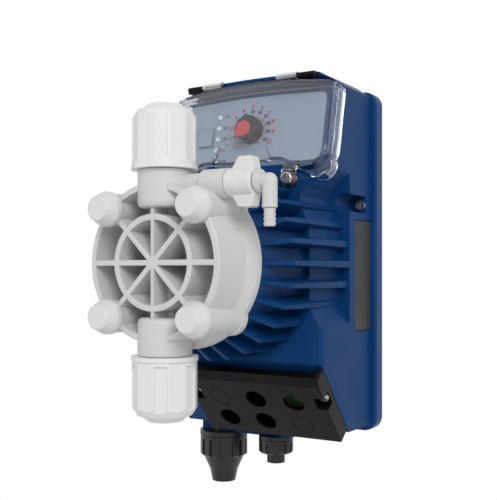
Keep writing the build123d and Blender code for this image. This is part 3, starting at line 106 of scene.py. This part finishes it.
def turnedFinish(name, look):
    # machined or plated metal: fine turning marks that streak the reflection, with the metal's own tint
    material, tree, place, output = blankMaterial(name)
    stretch = node(tree, "ShaderNodeMapping", None, {"Vector": place, "Scale": look["stretch"]})
    marks = node(tree, "ShaderNodeTexNoise", None,
                 {"Vector": stretch.outputs["Vector"], "Scale": 1000 / look["markMm"], "Detail": 4.0})
    tone = node(tree, "ShaderNodeMix", {"data_type": "RGBA"}, {"Factor": marks.outputs["Fac"]})
    tone.inputs["A"].default_value = linear(look["deep"])
    tone.inputs["B"].default_value = linear(look["pale"])
    sheen = node(tree, "ShaderNodeMapRange", None,
                 {"Value": marks.outputs["Fac"], "To Min": look["rough"] - 0.08,
                  "To Max": look["rough"] + 0.1})
    bump = node(tree, "ShaderNodeBump", None,
                {"Strength": 0.25, "Distance": look["markDeepMm"] * mm, "Height": marks.outputs["Fac"]})
    shader = node(tree, "ShaderNodeBsdfPrincipled", None,
                  {"Base Color": tone.outputs["Result"], "Metallic": 1.0,
                   "Roughness": sheen.outputs["Result"], "Normal": bump.outputs["Normal"]})
    tree.links.new(shader.outputs["BSDF"], output.inputs["Surface"])
    return material


def clearFinish(name, look):
    # injection-moulded clear polycarbonate: glossy, faintly blue, with very slight waves from the mould
    material, tree, place, output = blankMaterial(name)
    wave = node(tree, "ShaderNodeTexNoise", None,
                {"Vector": place, "Scale": 1000 / look["waveMm"], "Detail": 1.0})
    bump = node(tree, "ShaderNodeBump", None,
                {"Strength": 0.15, "Distance": look["waveDeepMm"] * mm, "Height": wave.outputs["Fac"]})
    shader = node(tree, "ShaderNodeBsdfPrincipled", None,
                  {"Base Color": linear(look["tint"]), "Roughness": look["rough"],
                   "IOR": look["ior"], "Transmission Weight": 1.0, "Normal": bump.outputs["Normal"]})
    through = node(tree, "ShaderNodeBsdfTransparent", None, {"Color": linear(look["shadowTint"])})
    path = node(tree, "ShaderNodeLightPath")
    mix = node(tree, "ShaderNodeMixShader", None, {"Fac": path.outputs["Is Shadow Ray"]})
    tree.links.new(shader.outputs["BSDF"], mix.inputs[1])
    tree.links.new(through.outputs["BSDF"], mix.inputs[2])
    tree.links.new(mix.outputs["Shader"], output.inputs["Surface"])
    return material


# spark-eroded grain is a few tenths of a millimetre wide and tool marks are finer still, too fine to show, so
# both are drawn about 1 mm wide
mouldedLooks = {
    "caseGlassFilledPolypropylene": {  # glass fibre leaves the blue skin dull, with a broad soft sheen
        "deep": "0B3768", "pale": "11437A", "rough": 0.44, "grainMm": 1.1, "grainDeepMm": 0.05,
        "grainStrength": 0.3, "cloudMm": 40, "edgeMm": 0.7, "ior": 1.49, "specular": 0.08},
    "rearCoverPolypropylene": {  # smoother than the case, so its rim catches more light
        "deep": "0D3A6B", "pale": "13467E", "rough": 0.38, "grainMm": 1.1, "grainDeepMm": 0.05,
        "grainStrength": 0.3, "cloudMm": 40, "edgeMm": 0.9, "ior": 1.49, "specular": 0.12},
    "headPvdfPaintedShade": {  # milky off-white with a waxy, low sheen; set darker than the caps' resin as painted shade on the head's sides
        "deep": "CFCFCD", "pale": "D9D9D7", "rough": 0.44, "grainMm": 1.4, "grainDeepMm": 0.04,
        "grainStrength": 0.25, "cloudMm": 30, "edgeMm": 0.8, "ior": 1.42},
    "capMouldedPvdf": {  # the same resin as the head, in its own lighter tone; the head's copy is darker as painted shade
        "deep": "DCDCDA", "pale": "E6E6E4", "rough": 0.44, "grainMm": 1.4, "grainDeepMm": 0.04,
        "grainStrength": 0.25, "cloudMm": 30, "edgeMm": 0.8, "ior": 1.42},
    "nutMouldedPolypropylene": {  # the whitest plastic here, smooth on its ribs
        "deep": "E4E4E3", "pale": "EEEEED", "rough": 0.36, "grainMm": 1.4, "grainDeepMm": 0.04,
        "grainStrength": 0.25, "cloudMm": 30, "edgeMm": 0.5, "ior": 1.49},
    "blackMouldedNylon": {  # dense black with a thin sheen on its edges
        "deep": "080809", "pale": "0F0F10", "rough": 0.36, "grainMm": 1.0, "grainDeepMm": 0.04,
        "grainStrength": 0.3, "cloudMm": 25, "edgeMm": 0.6, "ior": 1.53, "specular": 0.09},
    "glandMouldedPolyamide": {  # black too, but glossier where it is gripped
        "deep": "101011", "pale": "171718", "rough": 0.34, "grainMm": 1.0, "grainDeepMm": 0.04,
        "grainStrength": 0.3, "cloudMm": 18, "edgeMm": 0.4, "ior": 1.53, "specular": 0.35},
    "knobBlackAbs": {  # warm satin black
        "deep": "141312", "pale": "1D1C1B", "rough": 0.5, "grainMm": 0.9, "grainDeepMm": 0.03,
        "grainStrength": 0.3, "cloudMm": 12, "edgeMm": 0.25, "ior": 1.53, "specular": 0.3},
    "pointerRedAbs": {  # clear red and half glossy
        "deep": "C42B32", "pale": "CE353B", "rough": 0.4, "grainMm": 0.9, "grainDeepMm": 0.02,
        "grainStrength": 0.2, "cloudMm": 8, "edgeMm": 0.25, "ior": 1.53},
    "panelPrintedPolyester": {  # textured foil printed from behind: even, matt blue-grey
        "deep": "8E99A6", "pale": "949FAD", "rough": 0.48, "grainMm": 0.9, "grainDeepMm": 0.02,
        "grainStrength": 0.2, "cloudMm": 60, "edgeMm": 0.2, "ior": 1.6},
    "ratingPlatePolyester": {  # flat dark grey film without lettering
        "deep": "3A3A3A", "pale": "404040", "rough": 0.5, "grainMm": 1.2, "grainDeepMm": 0.02,
        "grainStrength": 0.2, "cloudMm": 30, "edgeMm": 0.15, "ior": 1.6, "specular": 0.12},
    "lensFrostedAcrylic": {  # pale, and hides what is behind it
        "deep": "D9DEE2", "pale": "E6EAEC", "rough": 0.3, "grainMm": 0.8, "grainDeepMm": 0.01,
        "grainStrength": 0.2, "cloudMm": 5, "edgeMm": 0.15, "ior": 1.49},
    "sealNitrileRubber": {  # dull black with no highlight
        "deep": "121212", "pale": "1A1A1A", "rough": 0.7, "grainMm": 0.9, "grainDeepMm": 0.04,
        "grainStrength": 0.4, "cloudMm": 10, "edgeMm": 0.2, "ior": 1.52},
    "ringRedSilicone": {  # brownish red with a soft sheen
        "deep": "6A2B22", "pale": "7C352B", "rough": 0.5, "grainMm": 0.8, "grainDeepMm": 0.02,
        "grainStrength": 0.3, "cloudMm": 6, "edgeMm": 0.2, "ior": 1.42},
    "boardGreenLaminate": {  # solder-masked glass laminate, half glossy
        "deep": "174A2A", "pale": "1D5A33", "rough": 0.4, "grainMm": 1.0, "grainDeepMm": 0.03,
        "grainStrength": 0.3, "cloudMm": 9, "edgeMm": 0.1, "ior": 1.5},
    "terminalGreenPolyamide": {  # greyish green satin
        "deep": "3F6B40", "pale": "4A7A4A", "rough": 0.45, "grainMm": 1.0, "grainDeepMm": 0.03,
        "grainStrength": 0.3, "cloudMm": 12, "edgeMm": 0.3, "ior": 1.53},
    "diaphragmPtfe": {  # chalky white without gloss
        "deep": "DAD9D2", "pale": "E6E5DF", "rough": 0.55, "grainMm": 1.0, "grainDeepMm": 0.02,
        "grainStrength": 0.2, "cloudMm": 18, "edgeMm": 0.3, "ior": 1.35},
    "ballCeramic": {  # sintered and polished: cream with small sharp highlights
        "deep": "E8E2D6", "pale": "F0EBE0", "rough": 0.15, "grainMm": 0.8, "grainDeepMm": 0.005,
        "grainStrength": 0.1, "cloudMm": 6, "edgeMm": 0.1, "ior": 1.76},
}
metalLooks = {
    "screwZincPlatedSteel": {  # bright zinc with blurred, uneven reflections
        "deep": "8F9092", "pale": "B9BABC", "rough": 0.3, "markMm": 1.0, "markDeepMm": 0.02,
        "stretch": (1, 1, 1)},
    "armatureGroundSteel": {  # fine marks along its length
        "deep": "A0A1A4", "pale": "C2C3C6", "rough": 0.25, "markMm": 1.2, "markDeepMm": 0.01,
        "stretch": (1, 0.1, 1)},
    "yokeBlackenedSteel": {  # dark plate with faint rolling streaks
        "deep": "3A3B3E", "pale": "4C4D51", "rough": 0.45, "markMm": 1.5, "markDeepMm": 0.02,
        "stretch": (1, 0.2, 1)},
    "coilEnamelledCopper": {  # wire turns side by side: brown bands across the axis
        "deep": "7A3E1C", "pale": "A4592B", "rough": 0.3, "markMm": 1.0, "markDeepMm": 0.08,
        "stretch": (0.05, 1, 0.05)},
    "sleeveBronze": {  # drawn tube: yellow-brown with lengthwise streaks
        "deep": "93703A", "pale": "B48C4F", "rough": 0.3, "markMm": 1.0, "markDeepMm": 0.01,
        "stretch": (1, 0.2, 1)},
}
materials = {name: mouldedFinish(name, look) for name, look in mouldedLooks.items()}
materials.update({name: turnedFinish(name, look) for name, look in metalLooks.items()})
materials["coverClearPolycarbonate"] = clearFinish("coverClearPolycarbonate", {
    "tint": "DEE2E6", "shadowTint": "ECEEF0", "rough": 0.03, "ior": 1.58, "waveMm": 30,
    "waveDeepMm": 0.05})
print("materials made:", len(materials))

finishOf = {
    "rear_cover": "rearCoverPolypropylene",
    "case_gasket": "sealNitrileRubber",
    "housing_shell": "caseGlassFilledPolypropylene",
    "case_screws": "screwZincPlatedSteel",
    "rating_plate": "ratingPlatePolyester",
    "control_panel": "panelPrintedPolyester",
    "led_lenses": "lensFrostedAcrylic",
    "select_key": "panelPrintedPolyester",
    "circuit_board": "boardGreenLaminate",
    "potentiometer": "blackMouldedNylon",
    "knob_shaft": "screwZincPlatedSteel",
    "adjust_knob": "knobBlackAbs",
    "knob_pointer": "pointerRedAbs",
    "clear_cover": "coverClearPolycarbonate",
    "hinge_blocks": "blackMouldedNylon",
    "hinge_pins": "screwZincPlatedSteel",
    "cover_screws": "screwZincPlatedSteel",
    "cover_screw_rings": "ringRedSilicone",
    "wiring_cover": "blackMouldedNylon",
    "wiring_cover_screws": "screwZincPlatedSteel",
    "chamber_liner": "blackMouldedNylon",
    "terminal_block": "terminalGreenPolyamide",
    "cable_gland_body": "glandMouldedPolyamide",
    "gland_seal": "sealNitrileRubber",
    "cable_gland_nut": "glandMouldedPolyamide",
    "signal_socket": "glandMouldedPolyamide",
    "signal_socket_cap": "glandMouldedPolyamide",
    "solenoid_yoke": "yokeBlackenedSteel",
    "solenoid_coil": "coilEnamelledCopper",
    "armature_guide": "sleeveBronze",
    "armature": "armatureGroundSteel",
    "push_rod": "armatureGroundSteel",
    "pressure_disc": "armatureGroundSteel",
    "return_spring": "screwZincPlatedSteel",
    "diaphragm_backplate": "headPvdfPaintedShade",
    "diaphragm": "diaphragmPtfe",
    "pump_head": "headPvdfPaintedShade",
    "head_bolts": "screwZincPlatedSteel",
    "bolt_caps": "capMouldedPvdf",
    "valve_cartridges": "headPvdfPaintedShade",
    "discharge_ball": "ballCeramic",
    "suction_ball": "ballCeramic",
    "valve_rings": "sealNitrileRubber",
    "discharge_nut": "nutMouldedPolypropylene",
    "suction_nut": "nutMouldedPolypropylene",
    "hose_nipples": "headPvdfPaintedShade",
    "clamp_rings": "headPvdfPaintedShade",
    "bleed_knob": "capMouldedPvdf",
    "bleed_elbow": "headPvdfPaintedShade",
}
for name, finish in finishOf.items():
    body = nodes[name]
    body.data.materials.clear()
    body.data.materials.append(materials[finish])
print("finishes given to the nodes")


# print on the control panel
panel = {"depth": 66.2, "height": 87.0, "lean": 12.5, "thick": 1.2, "inkLift": 0.04, "inkSpread": 0.045}


def panelPlace(u, v, w):
    # a point right u, up v and out w of the dial's centre, turned by the panel's lean, in metres
    lean = math.radians(panel["lean"])
    u, v, w = (np.asarray(a, dtype=float) for a in (u, v, w))
    depth = panel["depth"] - v * math.sin(lean) + w * math.cos(lean)
    height = panel["height"] + v * math.cos(lean) + w * math.sin(lean)
    return np.stack(np.broadcast_arrays(u, -depth, height), axis=-1) * mm


def meshPiece(name, points, faces, finish, body):
    # a mesh from an array of points in metres and its faces, that moves with a body
    mesh = bpy.data.meshes.new(name)
    mesh.from_pydata(points.tolist(), [], faces)
    mesh.update()
    mesh.materials.append(materials[finish])
    piece = bpy.data.objects.new(name, mesh)
    bpy.context.scene.collection.objects.link(piece)
    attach(piece, body)
    return piece


def wordOutline(text, size):
    # a flat word as points and faces, centred, in millimetres
    curve = bpy.data.curves.new("word", "FONT")
    curve.body = text
    curve.size = size
    curve.offset = size * panel["inkSpread"]
    curve.align_x = "CENTER"
    curve.align_y = "CENTER"
    curve.resolution_u = 3
    holder = bpy.data.objects.new("word", curve)
    bpy.context.scene.collection.objects.link(holder)
    bpy.context.view_layer.update()
    mesh = bpy.data.meshes.new_from_object(holder.evaluated_get(bpy.context.evaluated_depsgraph_get()))
    points = np.zeros(len(mesh.vertices) * 3)
    mesh.vertices.foreach_get("co", points)
    faces = [tuple(face.vertices) for face in mesh.polygons]
    bpy.data.objects.remove(holder)
    bpy.data.meshes.remove(mesh)
    bpy.data.curves.remove(curve)
    return points.reshape(-1, 3)[:, :2], faces


def printPiece(name, words, lines, finish):
    # words: (text, size, u, v); lines: thin bars as (u0, v0, u1, v1, width); all lie just over the foil
    points = []
    faces = []
    count = 0
    for text, size, u, v in words:
        flat, wordFaces = wordOutline(text, size)
        points.append(flat + np.array([u, v]))
        faces += [tuple(i + count for i in face) for face in wordFaces]
        count += len(flat)
    for u0, v0, u1, v1, width in lines:
        along = np.array([u1 - u0, v1 - v0]) / math.hypot(u1 - u0, v1 - v0)
        side = np.array([-along[1], along[0]]) * width / 2
        ends = np.array([[u0, v0], [u1, v1]])
        points.append(np.array([ends[0] - side, ends[1] - side, ends[1] + side, ends[0] + side]))
        faces.append((count, count + 1, count + 2, count + 3))
        count += 4
    flat = np.concatenate(points)
    placed = panelPlace(flat[:, 0], flat[:, 1], panel["thick"] + panel["inkLift"])
    return meshPiece(name, placed, faces, finish, "pump_case")


dial = {"u": -0.6, "v": 0.8, "redRadius": 16.4, "darkRadius": 12.9, "firstAngle": 196, "step": -25.6,
        "marks": 10, "arcRadius": 9.7, "arcSweep": -232, "arcPoints": 47, "arcWidth": 0.55,
        "redSize": 4.2, "darkSize": 3.3, "tickFrom": 10.0, "tickTo": 11.2, "tickWidth": 0.35,
        "lowRules": [(-13.4, -8.8, -9.0), (-13.0, -9.6, -11.0)], "ruleWidth": 0.3}
# screen-printed ink: a thin matt film with sharp edges
materials["inkRed"] = mouldedFinish("inkRed", {
    "deep": "B81F2C", "pale": "C22A36", "rough": 0.45, "grainMm": 0.9, "grainDeepMm": 0.01,
    "grainStrength": 0.1, "cloudMm": 10, "edgeMm": 0.05, "ior": 1.5})
materials["inkDarkBlue"] = mouldedFinish("inkDarkBlue", {
    "deep": "141E3A", "pale": "1A2544", "rough": 0.45, "grainMm": 0.9, "grainDeepMm": 0.01,
    "grainStrength": 0.1, "cloudMm": 10, "edgeMm": 0.05, "ior": 1.5})
lights = {"u": -26.7, "top": 12.2, "pitch": 7.8, "labelU": 4.6, "letterShift": 0.3, "size": 3.0,
          "rule": (-24.6, -5.5, -19.4, -5.5, 0.25)}
key = {"low": (-42.9, -9.1), "high": (-29.7, 5.1), "notch": 1.4, "width": 0.3}
redWords = [("1:4", lights["size"], lights["u"] + lights["labelU"], lights["top"] - 3 * lights["pitch"])]
darkWords = [(word, lights["size"], lights["u"] + lights["labelU"] + lights["letterShift"] * len(word),
              lights["top"] - row * lights["pitch"])
             for row, word in ((0, "1:1"), (1, "4:1"), (2, "10:1"), (4, "4-20"))]
(keyLeft, keyLow), (keyRight, keyHigh) = key["low"], key["high"]
keyMiddle = (keyLow + keyHigh) / 2
corners = [(keyLeft, keyHigh), (keyRight, keyHigh), (keyRight, keyMiddle + key["notch"]),
           (keyRight - key["notch"], keyMiddle), (keyRight, keyMiddle - key["notch"]), (keyRight, keyLow),
           (keyLeft, keyLow), (keyLeft, keyHigh)]
ticks = [(*start, *end, key["width"]) for start, end in zip(corners, corners[1:])]
# short rules at the scale's low end, and one under the third light's label
ticks += [(left, v, right, v, dial["ruleWidth"]) for left, right, v in dial["lowRules"]] + [lights["rule"]]
turns = np.radians(np.linspace(dial["firstAngle"], dial["firstAngle"] + dial["arcSweep"], dial["arcPoints"]))
arc = dial["arcRadius"] * np.stack([np.cos(turns), np.sin(turns)], axis=1)
arcBars = [(*start, *end, dial["arcWidth"]) for start, end in zip(arc, arc[1:])]
for count in range(dial["marks"]):
    angle = math.radians(dial["firstAngle"] + dial["step"] * count)
    cosine, sine = math.cos(angle), math.sin(angle)
    redWords.append((str(count + 1), dial["redSize"], dial["u"] + dial["redRadius"] * cosine,
                     dial["v"] + dial["redRadius"] * sine))
    darkWords.append((str(10 * (count + 1)), dial["darkSize"], dial["u"] + dial["darkRadius"] * cosine,
                      dial["v"] + dial["darkRadius"] * sine))
    ticks.append((dial["tickFrom"] * cosine, dial["tickFrom"] * sine, dial["tickTo"] * cosine,
                  dial["tickTo"] * sine, dial["tickWidth"]))
printPiece("dialNumbersRed", redWords, arcBars, "inkRed")
printPiece("dialNumbersDark", darkWords, ticks, "inkDarkBlue")
print("panel print made")

# the knob's red insert: a disc that tapers to a tip at the low end of the scale
insert = {"radius": 5.3, "shift": 2.0, "tip": 8.6, "turn": 232, "tipHalf": 0.9, "from": 10.4, "to": 11.5,
          "roundFrom": 68, "roundTo": 292, "roundPoints": 33}
around = np.radians(np.linspace(insert["roundFrom"], insert["roundTo"], insert["roundPoints"]))
# most of a circle on the far side of the tip, closed by two straight flanks
ring = np.stack([insert["shift"] + insert["radius"] * np.cos(around),
                 insert["radius"] * np.sin(around)], axis=1)
ring = np.concatenate([ring, [[insert["tip"], -insert["tipHalf"]], [insert["tip"], insert["tipHalf"]]]])
turn = math.radians(insert["turn"])
ring = ring @ np.array([[math.cos(turn), math.sin(turn)], [-math.sin(turn), math.cos(turn)]])
total = len(ring)
points = np.concatenate([panelPlace(ring[:, 0], ring[:, 1], insert[end]) for end in ("from", "to")])
faces = [tuple(range(total - 1, -1, -1)), tuple(range(total, 2 * total))]
faces += [(i, (i + 1) % total, total + (i + 1) % total, total + i) for i in range(total)]
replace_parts(meshPiece("pointerInsert", points, faces, "pointerRedAbs", "knob"), "knob_pointer")
print("knob insert made")

# inner soft pieces
def gridFaces(rows, columns):
    # quads of a tube whose columns close on themselves
    return [(row * columns + i, row * columns + (i + 1) % columns, (row + 1) * columns + (i + 1) % columns,
             (row + 1) * columns + i) for row in range(rows - 1) for i in range(columns)]


spring = {"radius": 8.6, "wire": 0.88, "turns": 4.5, "back": 111.05, "front": 124.95, "along": 163,
          "across": 12, "anchor": 126.0, "keep": 0.92}
share = np.linspace(0, 1, spring["along"])[:, None]
sweep = 2 * math.pi * spring["turns"] * share
around = np.linspace(0, 2 * math.pi, spring["across"], endpoint=False)[None, :]
# helix: the radius turns with the share of the length; the wire's circle lies along radius and axis
reach = spring["radius"] + spring["wire"] * np.cos(around)
along = spring["back"] + (spring["front"] - spring["back"]) * share + spring["wire"] * np.sin(around)
points = np.stack([reach * np.cos(sweep), -along, reach * np.sin(sweep)], axis=-1).reshape(-1, 3) * mm
faces = gridFaces(spring["along"], spring["across"])
faces += [tuple(range(spring["across"] - 1, -1, -1)),
          tuple(range((spring["along"] - 1) * spring["across"], spring["along"] * spring["across"]))]
coil = meshPiece("springCoil", points, faces, "screwZincPlatedSteel", "pump_case")
coil.data.shade_smooth()
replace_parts(coil, "return_spring")
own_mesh(coil)

membrane = {"columns": 96, "anchor": 143.0, "keep": 0.698, "profile": [
    (0.02, 138.8), (19.0, 138.8), (20.5, 140.0), (36.0, 140.0), (36.0, 143.0), (29.0, 143.0), (25.0, 141.2),
    (19.0, 141.2), (16.0, 142.6), (0.02, 142.6)]}
outline = np.array(membrane["profile"])
around = np.linspace(0, 2 * math.pi, membrane["columns"], endpoint=False)[None, :]
# each point of the profile (radius, depth) turned about the axis
points = np.stack([outline[:, :1] * np.cos(around), -outline[:, 1:] * np.ones_like(around),
                   outline[:, :1] * np.sin(around)], axis=-1).reshape(-1, 3) * mm
faces = gridFaces(len(outline), membrane["columns"])
faces += [tuple(range(membrane["columns"] - 1, -1, -1)),
          tuple(range((len(outline) - 1) * membrane["columns"], len(outline) * membrane["columns"]))]
web = meshPiece("diaphragmWeb", points, faces, "diaphragmPtfe", "pump_case")
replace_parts(web, "diaphragm")
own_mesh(web)
print("inner soft pieces made")

# walls of the black tray that lines the wiring chamber; their black, seen through the knockouts, also stands
# in for the shade inside the chamber as painted shade
tray = {"depth": 86.9, "height": -75.0, "slope": 39.5, "left": -35.7, "right": 53.7, "low": -42.7,
        "high": -7.3, "floor": -21.1, "brim": -4.0, "wall": 0.4, "cornerGap": 0.1, "screwRow": 14.3,
        "screwRoom": 2.6}


def trayPlace(u, v, w):
    # right u, up v and out w of the wiring slope's origin; the slope leans back under the case, in metres
    slope = math.radians(tray["slope"])
    depth = tray["depth"] + v * math.sin(slope) + w * math.cos(slope)
    height = tray["height"] + v * math.cos(slope) - w * math.sin(slope)
    return np.stack(np.broadcast_arrays(u, -depth, height), axis=-1) * mm


below, above = -tray["screwRow"] - tray["screwRoom"], -tray["screwRow"] + tray["screwRoom"]
wall = tray["wall"]
sides = [(tray["left"], tray["right"], tray["high"] - wall, tray["high"]),
         (tray["left"], tray["right"], tray["low"], tray["low"] + wall)]
# the short walls stop on both sides of the cover's screws
inner = wall + tray["cornerGap"]
for start, end in ((tray["left"], tray["left"] + wall), (tray["right"] - wall, tray["right"])):
    sides += [(start, end, tray["low"] + inner, below), (start, end, above, tray["high"] - inner)]
points = []
faces = []
for count, (left, right, low, high) in enumerate(sides):
    u = np.array([left, right, right, left] * 2)
    v = np.array([low, low, high, high] * 2)
    w = np.repeat([tray["floor"], tray["brim"]], 4)
    points.append(trayPlace(u, v, w))
    faces += [tuple(8 * count + i for i in quad) for quad in
              ((3, 2, 1, 0), (4, 5, 6, 7), (0, 1, 5, 4), (1, 2, 6, 5), (2, 3, 7, 6), (3, 0, 4, 7))]
meshPiece("chamberTrayWallsAndShade", np.concatenate(points), faces, "blackMouldedNylon", "pump_case")
print("chamber tray made")

# floor, lamps, world and camera
studio = {"floorZ": -0.62, "floorHalf": 6.0, "worldStrength": 0.42, "lampAim": (0, -0.1, 0)}


def seenDirectly(tree):
    # 1 for what the eye sees straight, mirrored or through clear plastic, and 0 for light on matt surfaces
    path = node(tree, "ShaderNodeLightPath")
    direct = node(tree, "ShaderNodeMath", {"operation": "MAXIMUM"},
                  {0: path.outputs["Is Camera Ray"], 1: path.outputs["Is Glossy Ray"]})
    return node(tree, "ShaderNodeMath", {"operation": "MAXIMUM"},
                {0: direct.outputs[0], 1: path.outputs["Is Transmission Ray"]}).outputs[0]


# matt studio paint: pale for the light it throws back, plain white to the eye
paint, paintTree, _, paintOut = blankMaterial("floorPalePaint")
matte = node(paintTree, "ShaderNodeBsdfDiffuse", None, {"Color": linear("F0F0F0")})
glow = node(paintTree, "ShaderNodeEmission", None, {"Color": linear("FFFFFF"), "Strength": 1.0})
paintMix = node(paintTree, "ShaderNodeMixShader", None, {"Fac": seenDirectly(paintTree)})
paintTree.links.new(matte.outputs[0], paintMix.inputs[1])
paintTree.links.new(glow.outputs[0], paintMix.inputs[2])
paintTree.links.new(paintMix.outputs[0], paintOut.inputs["Surface"])
materials["floorPalePaint"] = paint
half, low = studio["floorHalf"], studio["floorZ"]
floorMesh = bpy.data.meshes.new("floor")
floorMesh.from_pydata([(-half, -half, low), (half, -half, low), (half, half, low), (-half, half, low)], [],
                      [(0, 1, 2, 3)])
floorMesh.materials.append(materials["floorPalePaint"])
floor = bpy.data.objects.new("floor", floorMesh)
bpy.context.scene.collection.objects.link(floor)

world = bpy.data.worlds.new("paleStudio")
bpy.context.scene.world = world
world.use_nodes = True
sky = world.node_tree
sky.nodes.clear()
soft = node(sky, "ShaderNodeBackground", None,
            {"Color": linear("FFFFFF"), "Strength": studio["worldStrength"]})
white = node(sky, "ShaderNodeBackground", None, {"Color": linear("FFFFFF"), "Strength": 1.0})
skyMix = node(sky, "ShaderNodeMixShader", None, {"Fac": seenDirectly(sky)})
sky.links.new(soft.outputs[0], skyMix.inputs[1])
sky.links.new(white.outputs[0], skyMix.inputs[2])
node(sky, "ShaderNodeOutputWorld", None, {"Surface": skyMix.outputs[0]})

lamps = {
    "keyLamp": {"place": (1.15, -1.35, 0.9), "watts": 19.0, "size": 0.9},
    "fillLamp": {"place": (-1.6, -1.3, 0.1), "watts": 5.0, "size": 1.2},
}
for name, lamp in lamps.items():
    data = bpy.data.lights.new(name, "AREA")
    data.energy = lamp["watts"]
    data.size = lamp["size"]
    light = bpy.data.objects.new(name, data)
    bpy.context.scene.collection.objects.link(light)
    light.location = lamp["place"]
    aim = np.array(studio["lampAim"]) - np.array(lamp["place"])
    pitch = math.atan2(math.hypot(aim[0], aim[1]), -aim[2])
    light.rotation_euler = (pitch, 0, math.atan2(aim[1], aim[0]) - math.pi / 2)

lens = {"place": (0.286555, -0.537419, -0.006386), "turn": 31.68, "focal": 60.26, "shiftY": 0.0486,
        "sensor": 36, "near": 0.01}
cameraData = bpy.data.cameras.new("viewCamera")
cameraData.lens = lens["focal"]
cameraData.sensor_width = lens["sensor"]
cameraData.sensor_fit = "AUTO"
cameraData.shift_y = lens["shiftY"]
cameraData.clip_start = lens["near"]
camera = bpy.data.objects.new("viewCamera", cameraData)
bpy.context.scene.collection.objects.link(camera)
camera.location = lens["place"]
camera.rotation_euler = (math.pi / 2, 0, math.radians(lens["turn"]))
bpy.context.scene.camera = camera
bpy.context.scene.view_settings.view_transform = "Standard"
print("floor, lamps, world and camera set")
